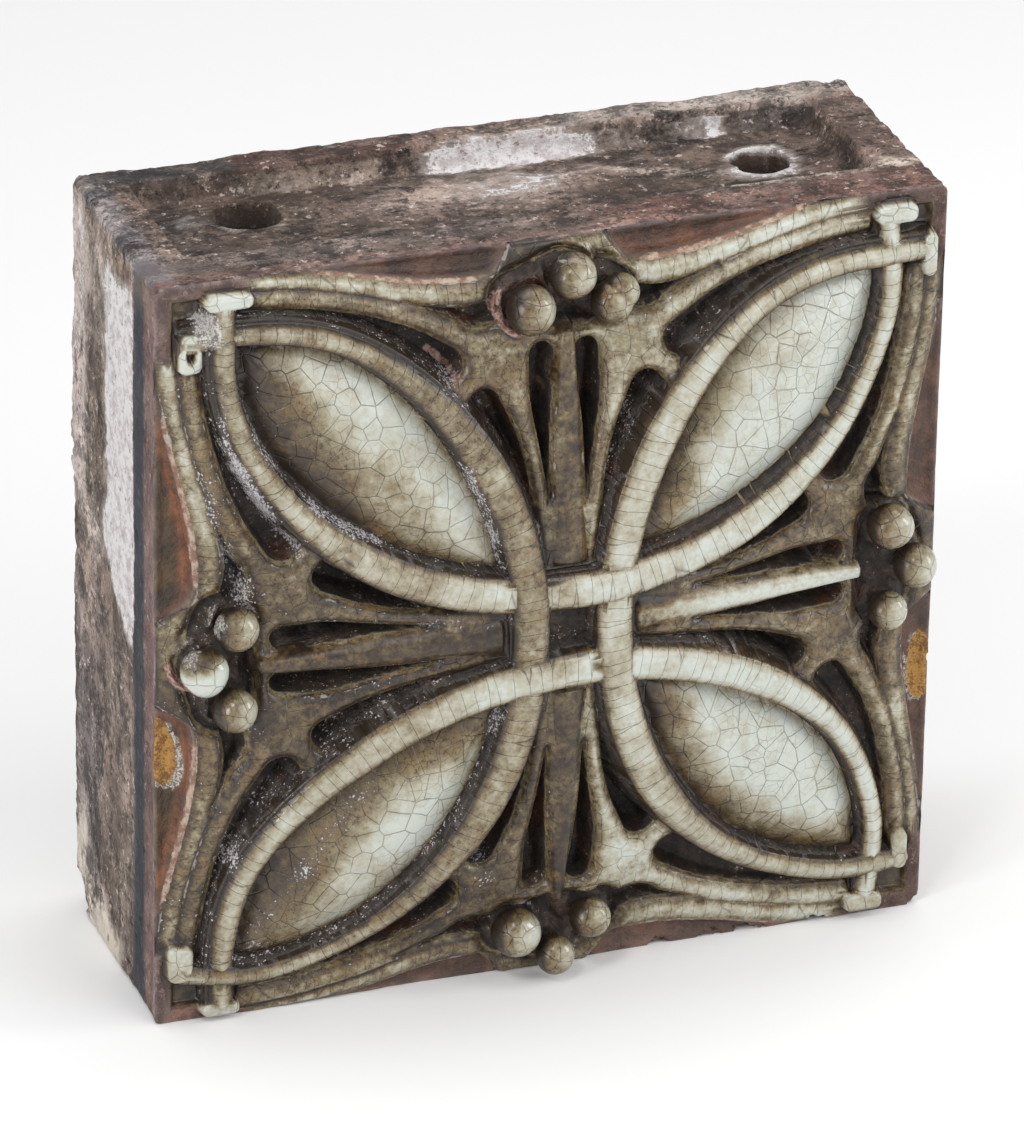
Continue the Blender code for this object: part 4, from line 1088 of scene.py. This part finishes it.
class Nodes:
    def __init__(self, name):
        self.mat = bpy.data.materials.new(name)
        self.mat.use_nodes = True
        self.t = self.mat.node_tree
        self.bsdf = self.t.nodes["Principled BSDF"]

    def put(self, socket, value):
        if value is None:
            return
        if isinstance(value, bpy.types.NodeSocket):
            self.t.links.new(value, socket)
        else:
            socket.default_value = value

    def attr(self, name, vector=False, colour=False):
        n = self.t.nodes.new("ShaderNodeAttribute")
        n.attribute_type = "GEOMETRY"
        n.attribute_name = name
        return n.outputs["Vector" if vector else "Color" if colour else "Fac"]

    def pos(self):
        n = self.t.nodes.new("ShaderNodeTexCoord")
        return n.outputs["Object"]

    def math(self, op, a, b=None, c=None, clamp=False):
        n = self.t.nodes.new("ShaderNodeMath")
        n.operation = op
        n.use_clamp = clamp
        self.put(n.inputs[0], a)
        self.put(n.inputs[1], b)
        if c is not None:
            self.put(n.inputs[2], c)
        return n.outputs[0]

    def add(self, *terms):
        out = terms[0]
        for t in terms[1:]:
            out = self.math("ADD", out, t)
        return out

    def mul(self, a, b, clamp=False):
        return self.math("MULTIPLY", a, b, clamp=clamp)

    def sway(self, value, amount):
        """(value - 0.5) * amount"""
        return self.mul(self.math("SUBTRACT", value, 0.5), amount)

    def vmath(self, op, a, b=None):
        n = self.t.nodes.new("ShaderNodeVectorMath")
        n.operation = op
        self.put(n.inputs[0], a)
        if b is not None:
            if op == "SCALE":
                self.put(n.inputs["Scale"], b)
            else:
                self.put(n.inputs[1], b)
        return n.outputs["Value" if op in ("DISTANCE", "LENGTH", "DOT_PRODUCT") else "Vector"]

    def noise(self, vec, scale, detail=3.0, rough=0.5, distort=0.0, color=False):
        n = self.t.nodes.new("ShaderNodeTexNoise")
        self.put(n.inputs["Vector"], vec)
        n.inputs["Scale"].default_value = scale
        n.inputs["Detail"].default_value = detail
        n.inputs["Roughness"].default_value = rough
        n.inputs["Distortion"].default_value = distort
        return n.outputs["Color" if color else "Fac"]

    def voronoi(self, vec, scale, feature="DISTANCE_TO_EDGE", rand=1.0):
        n = self.t.nodes.new("ShaderNodeTexVoronoi")
        n.voronoi_dimensions = "2D"
        n.feature = feature
        self.put(n.inputs["Vector"], vec)
        n.inputs["Scale"].default_value = scale
        n.inputs["Randomness"].default_value = rand
        return n.outputs["Distance"]

    def range(self, v, a, b, c=0.0, d=1.0, smoothed=True):
        n = self.t.nodes.new("ShaderNodeMapRange")
        n.interpolation_type = "SMOOTHSTEP" if smoothed else "LINEAR"
        self.put(n.inputs["Value"], v)
        n.inputs["From Min"].default_value = a
        n.inputs["From Max"].default_value = b
        n.inputs["To Min"].default_value = c
        n.inputs["To Max"].default_value = d
        return n.outputs["Result"]

    def mix(self, f, a, b):
        n = self.t.nodes.new("ShaderNodeMix")
        n.data_type = "RGBA"
        self.put(n.inputs[0], f)
        self.put(n.inputs[6], a)
        self.put(n.inputs[7], b)
        return n.outputs[2]

    def fmix(self, f, a, b):
        n = self.t.nodes.new("ShaderNodeMix")
        n.data_type = "FLOAT"
        self.put(n.inputs[0], f)
        self.put(n.inputs[2], a)
        self.put(n.inputs[3], b)
        return n.outputs[0]

    def ramp(self, f, stops):
        n = self.t.nodes.new("ShaderNodeValToRGB")
        e = n.color_ramp.elements
        while len(e) < len(stops):
            e.new(0.5)
        for el, (at, colour) in zip(e, stops):
            el.position = at
            el.color = colour
        self.put(n.inputs[0], f)
        return n.outputs[0]


GLAZE = [(0.0, lin(188, 193, 185)), (0.2, lin(170, 166, 149)), (0.4, lin(138, 128, 104)),
         (0.6, lin(104, 90, 65)), (0.8, lin(74, 60, 42)), (1.0, lin(44, 35, 27))]


def block_material():
    k = Nodes("glazed_terracotta")
    pos = k.pos()
    front, dirt_and_shade, below, bare, crev, dust, scoop, rim, crk, petal, flesh, white, mortar, ochre, worn, plain = (
        k.attr(a) for a in ("front", "dirt_and_shade", "below", "bare", "crev", "dust", "scoop", "rim", "crk", "petal",
                            "flesh", "white", "mortar", "ochre", "worn", "plain"))
    craze, tint = k.attr("craze", True), k.attr("tint", colour=True)

    # --- the glaze: ivory under a brown film and painted shade, crazed ------
    big = k.noise(pos, 24, 3, 0.55)
    mid = k.noise(pos, 70, 4, 0.6)
    fine = k.noise(pos, 330, 4, 0.65)
    speck = k.noise(pos, 950, 2, 0.6)
    wide = k.range(mid, .35, .65, 0.026, 0.044)
    cell = k.fmix(petal, k.voronoi(craze, 1.0, rand=.78), k.voronoi(craze, 1.0))
    c1 = k.math("SUBTRACT", 1.0, k.math("DIVIDE", cell, wide), clamp=True)
    c2 = k.math("SUBTRACT", 1.0, k.math("DIVIDE", k.voronoi(k.vmath("ADD", craze, (3.3, 5.1, 0)), 1.75), 0.050), clamp=True)
    c2 = k.mul(k.mul(c2, k.range(big, .42, .56, .0, .72)), petal)
    c3 = k.math("SUBTRACT", 1.0, k.math("DIVIDE", k.voronoi(k.vmath("MULTIPLY", craze, (0.42, 3.4, 0)), 1.0), 0.042), clamp=True)
    c3 = k.mul(k.mul(c3, k.range(k.noise(pos, 45, 2), .62, .72, 0, .5)), k.math("SUBTRACT", 1.0, petal))
    crack = k.mul(k.math("MAXIMUM", k.math("MAXIMUM", c1, c2), c3), crk)
    crack = k.mul(crack, k.range(k.noise(pos, 120, 2), .25, .55, .45, 1.0))

    mud = k.noise(pos, 150, 4, 0.7)
    flat = k.range(crk, .85, .97, 1.0, 0.0)
    film_and_shade = k.add(dirt_and_shade, k.mul(k.math("SUBTRACT", mid, 0.5), k.fmix(petal, k.fmix(flat, .62, .80), .52)),
                 k.mul(k.math("SUBTRACT", big, 0.5), .50), k.mul(k.math("SUBTRACT", fine, 0.5), k.fmix(petal, k.fmix(flat, .46, .70), .40)),
                 k.mul(k.math("SUBTRACT", mud, 0.5), k.mul(k.range(dirt_and_shade, .15, .60, .30, 1.0), k.fmix(petal, .75, .45))))
    # painted shade: the deeper a point lies, the darker its glaze
    film_and_shade = k.math("MAXIMUM", film_and_shade, k.mul(below, 1.05))
    film_and_shade = k.math("MINIMUM", k.math("MAXIMUM", film_and_shade, 0.0), 1.0)
    glaze = k.ramp(film_and_shade, GLAZE)
    amber = k.mul(k.range(k.noise(k.vmath("ADD", pos, (5, 5, 5)), 62, 4, .65), .50, .62), k.mul(k.range(film_and_shade, .30, .50), k.range(film_and_shade, .98, .75)))
    glaze = k.mix(k.mul(amber, .34), glaze, lin(126, 99, 62))
    glaze = k.mix(k.mul(crack, k.range(film_and_shade, 0.0, .7, .70, .88)), glaze, k.mix(k.range(film_and_shade, .08, .40), lin(92, 86, 76), lin(36, 28, 21)))
    # brown specks in the dirty parts, as grit held by the film
    grit = k.mul(k.range(k.add(k.mul(speck, .6), k.mul(fine, .4)), .53, .60), k.range(film_and_shade, .30, .65))
    glaze = k.mix(k.mul(grit, .72), glaze, lin(42, 32, 25))
    # soot and pooled brown glaze in the wells and down the walls, with painted shade: darkest where deepest
    deepc = k.ramp(k.add(mid, k.sway(fine, .6)), [(0.22, lin(16, 14, 12)), (0.46, lin(36, 30, 26)), (0.62, lin(60, 48, 39)), (0.76, lin(96, 76, 62))])
    russet = k.range(k.noise(pos, 42, 3, .6), .54, .66)
    deepc = k.mix(k.mul(russet, .50), deepc, lin(82, 48, 32))
    deep = k.range(k.add(below, k.sway(fine, .35), k.sway(mid, .45)), .30, .72)
    glaze = k.mix(k.mul(deep, 0.95), glaze, deepc)
    # bare fired clay of the margins, and the brown glaze pooled in the hollows beside them
    clay = k.mix(k.range(k.add(k.mul(mid, .6), k.mul(mud, .4)), .42, .56), k.mix(.55, tint, lin(38, 28, 27)), tint)
    clay = k.mix(k.range(fine, .56, .68, 0, .42), clay, lin(164, 140, 132))
    clay = k.mix(k.range(speck, .58, .66, 0, .55), clay, lin(46, 36, 34))
    glaze = k.mix(bare, glaze, clay)
    pool = k.mix(k.range(k.noise(pos, 44, 4, .7), .42, .62), k.mix(.60, tint, lin(28, 21, 16)), k.mix(.18, tint, lin(126, 86, 50)))
    pool = k.mix(k.range(fine, .55, .68, 0, .5), pool, lin(40, 30, 24))
    glaze = k.mix(k.mul(scoop, k.range(mid, .25, .45, .55, .95)), glaze, pool)
    glaze = k.mix(k.mul(k.range(k.add(rim, k.sway(fine, 1.0), k.sway(mid, .6)), .40, .70), .80), glaze,
                  k.mix(k.range(mud, .42, .60), lin(132, 92, 74), lin(194, 168, 150)))
    glaze = k.mix(k.mul(k.range(k.add(worn, k.sway(mud, 1.8), k.sway(big, 1.8), k.sway(fine, .8)), .66, 1.00), .62), glaze, lin(164, 157, 146))
    # torn collars and pale crusts
    glaze = k.mix(k.mul(k.range(k.add(flesh, k.sway(fine, .8)), .3, .6), .9), glaze, k.mix(k.range(fine, .4, .6), lin(118, 78, 66), lin(176, 148, 138)))
    glaze = k.mix(k.mul(k.range(k.add(white, k.sway(fine, 1.3)), .35, .6), .9), glaze, k.mix(k.range(k.add(k.mul(speck, .5), k.mul(fine, .5)), .44, .56), lin(206, 203, 196), lin(112, 104, 98)))
    glaze = k.mix(k.range(k.add(ochre, k.sway(mud, .5), k.sway(fine, .4)), .52, .60), glaze,
                  k.mix(k.range(k.add(k.mul(mud, .6), k.mul(speck, .4)), .44, .58), lin(172, 128, 66), lin(112, 78, 40)))
    # grey dust and old lime in the creases
    dot = k.noise(k.vmath("ADD", pos, (2, 7, 1)), 560, 3, .6)
    dn = k.add(k.mul(dot, .62), k.mul(speck, .38), k.mul(fine, .15), k.sway(mid, .40))
    haze = k.mul(k.range(k.add(k.mul(crev, .30), k.mul(dust, .55), k.sway(mid, .5), k.sway(fine, .4)), .25, .80), .42)
    glaze = k.mix(haze, glaze, lin(122, 115, 112))
    dusty = k.range(k.add(k.mul(crev, 0.15), k.mul(dust, .21), k.mul(below, .05), dn), 0.80, 0.87)
    glaze = k.mix(k.mul(dusty, 0.85), glaze, k.ramp(speck, [(0.38, lin(128, 121, 122)), (0.60, lin(206, 202, 204))]))

    # --- sides --------------------------------------------------------------
    flow = k.vmath("MULTIPLY", pos, (0.50, 1.0, 0.42))
    s1 = k.noise(k.vmath("ADD", flow, (1, 2, 3)), 78, 4, .76)
    s2 = k.noise(k.vmath("ADD", pos, (4, 1, 2)), 210, 3, .75)
    broad = k.noise(k.vmath("ADD", flow, (8, 3, 5)), 24, 4, .72)
    side = k.mix(k.range(s1, .42, .58), k.mix(.45, tint, lin(34, 27, 25)), k.mix(.15, tint, lin(158, 138, 126)))
    side = k.mix(k.mul(k.range(broad, .50, .56, 0, .60), k.range(tint, .055, .17, .25, 1.0)), side, k.mix(.30, tint, lin(196, 176, 164)))
    side = k.mix(k.range(broad, .48, .42, 0, .66), side, k.mix(.20, tint, lin(42, 31, 27)))
    s4 = k.noise(k.vmath("ADD", flow, (3, 9, 6)), 46, 5, .76)
    pale = k.range(tint, .055, .17, .12, 1.0)
    side = k.mix(k.mul(k.range(s4, .53, .61, 0, .82), pale), side, k.mix(.30, tint, lin(222, 208, 200)))
    side = k.mix(k.range(k.noise(k.vmath("ADD", flow, (6, 2, 8)), 58, 5, .78), .55, .62, 0, .85), side, lin(36, 28, 26))
    side = k.mix(k.range(s2, .59, .68, 0, .55), side, lin(202, 187, 180))
    side = k.mix(k.range(k.noise(k.vmath("ADD", pos, (7, 5, 3)), 260, 3, .75), .57, .66, 0, .80), side, lin(34, 28, 27))
    side = k.mix(plain, side, k.mix(k.range(s1, .47, .60, 0, .45), tint, k.mix(.5, tint, lin(96, 88, 88))))
    patch = k.noise(k.vmath("ADD", pos, (9, 4, 7)), 30, 3, .6)
    deepen = k.range(k.add(k.mul(k.noise(k.vmath("ADD", pos, (2, 5, 9)), 62, 4, .80), .66), k.mul(k.noise(pos, 420, 3, .7), .34)), .43, .57, .42, 1.60)
    deepen = k.fmix(k.range(patch, .40, .55, .45, 1.0), 1.0, deepen)
    side = k.vmath("SCALE", side, k.fmix(plain, deepen, 1.0))
    ragged = k.noise(flow, 60, 5, .80)
    mo = k.range(k.add(mortar, k.sway(ragged, 1.9), k.sway(s2, .9)), .44, .60)
    film_mo = k.mul(k.range(k.add(mortar, k.sway(ragged, 2.0)), .12, .50), .50)
    mc = k.mix(k.range(k.noise(pos, 130, 3, .75), .44, .62), lin(216, 213, 214), lin(184, 176, 176))
    side = k.mix(film_mo, side, lin(180, 168, 160))
    side = k.mix(k.mul(mo, .93), side, k.mix(k.range(s2, .60, .67, 0, .75), mc, lin(108, 92, 84)))
    color = k.mix(front, side, glaze)
    k.put(k.bsdf.inputs["Base Color"], color)

    wetness = k.mul(k.mul(russet, deep), .75)
    matt = k.math("MAXIMUM", k.math("MAXIMUM", k.math("SUBTRACT", k.mul(deep, .62), wetness), k.math("SUBTRACT", bare, k.mul(scoop, .75))),
                  k.math("MAXIMUM", dusty, k.math("MAXIMUM", k.mul(white, .7), ochre)))
    rough_front = k.fmix(k.math("MAXIMUM", matt, 0.0), k.range(k.add(film_and_shade, k.sway(fine, .5)), .1, .9, .10, .32), 0.85)
    k.put(k.bsdf.inputs["Roughness"], k.fmix(front, 0.86, rough_front))
    k.bsdf.inputs["Specular IOR Level"].default_value = 0.55

    # --- bump ---------------------------------------------------------------
    height = k.mul(k.mul(c1, crk), -0.20)
    coarse = k.add(k.mul(fine, 1.3), k.mul(speck, 0.5), k.mul(mid, 1.2))
    grain = k.add(k.mul(s2, 1.9), k.mul(speck, .5), k.mul(mortar, .4))
    loose = k.math("MAXIMUM", k.math("MAXIMUM", k.mul(deep, .7), k.mul(bare, .7)), k.math("MAXIMUM", k.mul(dust, .35), k.mul(white, 1.2)))
    height = k.add(height, k.fmix(front, grain, k.mul(coarse, k.add(loose, 0.055))))
    bump = k.t.nodes.new("ShaderNodeBump")
    bump.inputs["Strength"].default_value = 0.9
    bump.inputs["Distance"].default_value = 0.0012
    k.put(bump.inputs["Height"], height)
    k.put(k.bsdf.inputs["Normal"], bump.outputs["Normal"])
    return k.mat


# ============================================================================
# floor, light, camera
def stage():
    bm = bmesh.new()
    bmesh.ops.create_grid(bm, x_segments=8, y_segments=8, size=4.0)
    me = bpy.data.meshes.new("studio_floor")
    bm.to_mesh(me)
    bm.free()
    floor = bpy.data.objects.new("studio_floor", me)
    bpy.context.scene.collection.objects.link(floor)
    mat = bpy.data.materials.new("pale_floor")
    mat.use_nodes = True
    b = mat.node_tree.nodes["Principled BSDF"]
    b.inputs["Base Color"].default_value = (0.93, 0.93, 0.93, 1)
    b.inputs["Roughness"].default_value = 0.9
    b.inputs["Specular IOR Level"].default_value = 0.1
    me.materials.append(mat)

    world = bpy.data.worlds.new("studio")
    bpy.context.scene.world = world
    world.use_nodes = True
    bg = world.node_tree.nodes["Background"]
    bg.inputs["Color"].default_value = (1.0, 1.0, 1.0, 1)
    bg.inputs["Strength"].default_value = 0.52

    def area(name, place, aim, size, power):
        light = bpy.data.lights.new(name, "AREA")
        light.shape = "RECTANGLE"
        light.size, light.size_y = size
        light.energy = power
        ob = bpy.data.objects.new(name, light)
        ob.location = place
        ob.rotation_euler = (Vector(aim) - Vector(place)).to_track_quat("-Z", "Y").to_euler()
        bpy.context.scene.collection.objects.link(ob)
    area("front", (1.1, -2.3, 1.9), (0, 0, 0.2), (2.6, 2.0), 32)
    area("window", (-1.1, -1.3, 2.3), (0, 0, 0.2), (0.46, 0.40), 10)
    area("right", (2.2, -0.8, 1.1), (0, 0, 0.2), (0.7, 1.2), 17)
    area("left", (-2.2, -1.2, 0.9), (0, 0, 0.2), (0.6, 1.3), 22)
    area("above", (0.0, 0.5, 2.6), (0, 0, 0.2), (3.0, 1.0), 22)


def camera():
    az, el, roll = -0.3527410, 0.4655140, 0.0191462
    tx, ty, dist = 0.0453162, -0.0562825, 11.0
    back = Vector((math.sin(az) * math.cos(el), -math.cos(az) * math.cos(el), math.sin(el)))
    right = Vector((0, 0, 1)).cross(back).normalized()
    up = back.cross(right)
    x2 = math.cos(roll) * right + math.sin(roll) * up
    y2 = -math.sin(roll) * right + math.cos(roll) * up
    rot = Matrix((x2, y2, back))
    place = Vector((0, 0, H2)) - rot.transposed() @ Vector((tx, ty, -dist))
    place = place * WIDTH + Vector((0, MARGIN_Y, 0))
    cam = bpy.data.cameras.new("camera")
    cam.sensor_fit = "AUTO"
    cam.sensor_width = 36.0
    cam.lens = 36.0 * 9121.64 / 1121.0
    cam.clip_end = 100
    ob = bpy.data.objects.new("camera", cam)
    m = rot.transposed().to_4x4()
    m.translation = place
    ob.matrix_world = m
    bpy.context.scene.collection.objects.link(ob)
    bpy.context.scene.camera = ob


block = build_block()
add_masks(block)
block.data.materials.clear()
block.data.materials.append(block_material())
for poly in block.data.polygons:
    poly.use_smooth = True
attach(block, "root")
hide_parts("facade_block")
stage()
camera()
bpy.context.scene.view_settings.view_transform = "Standard"
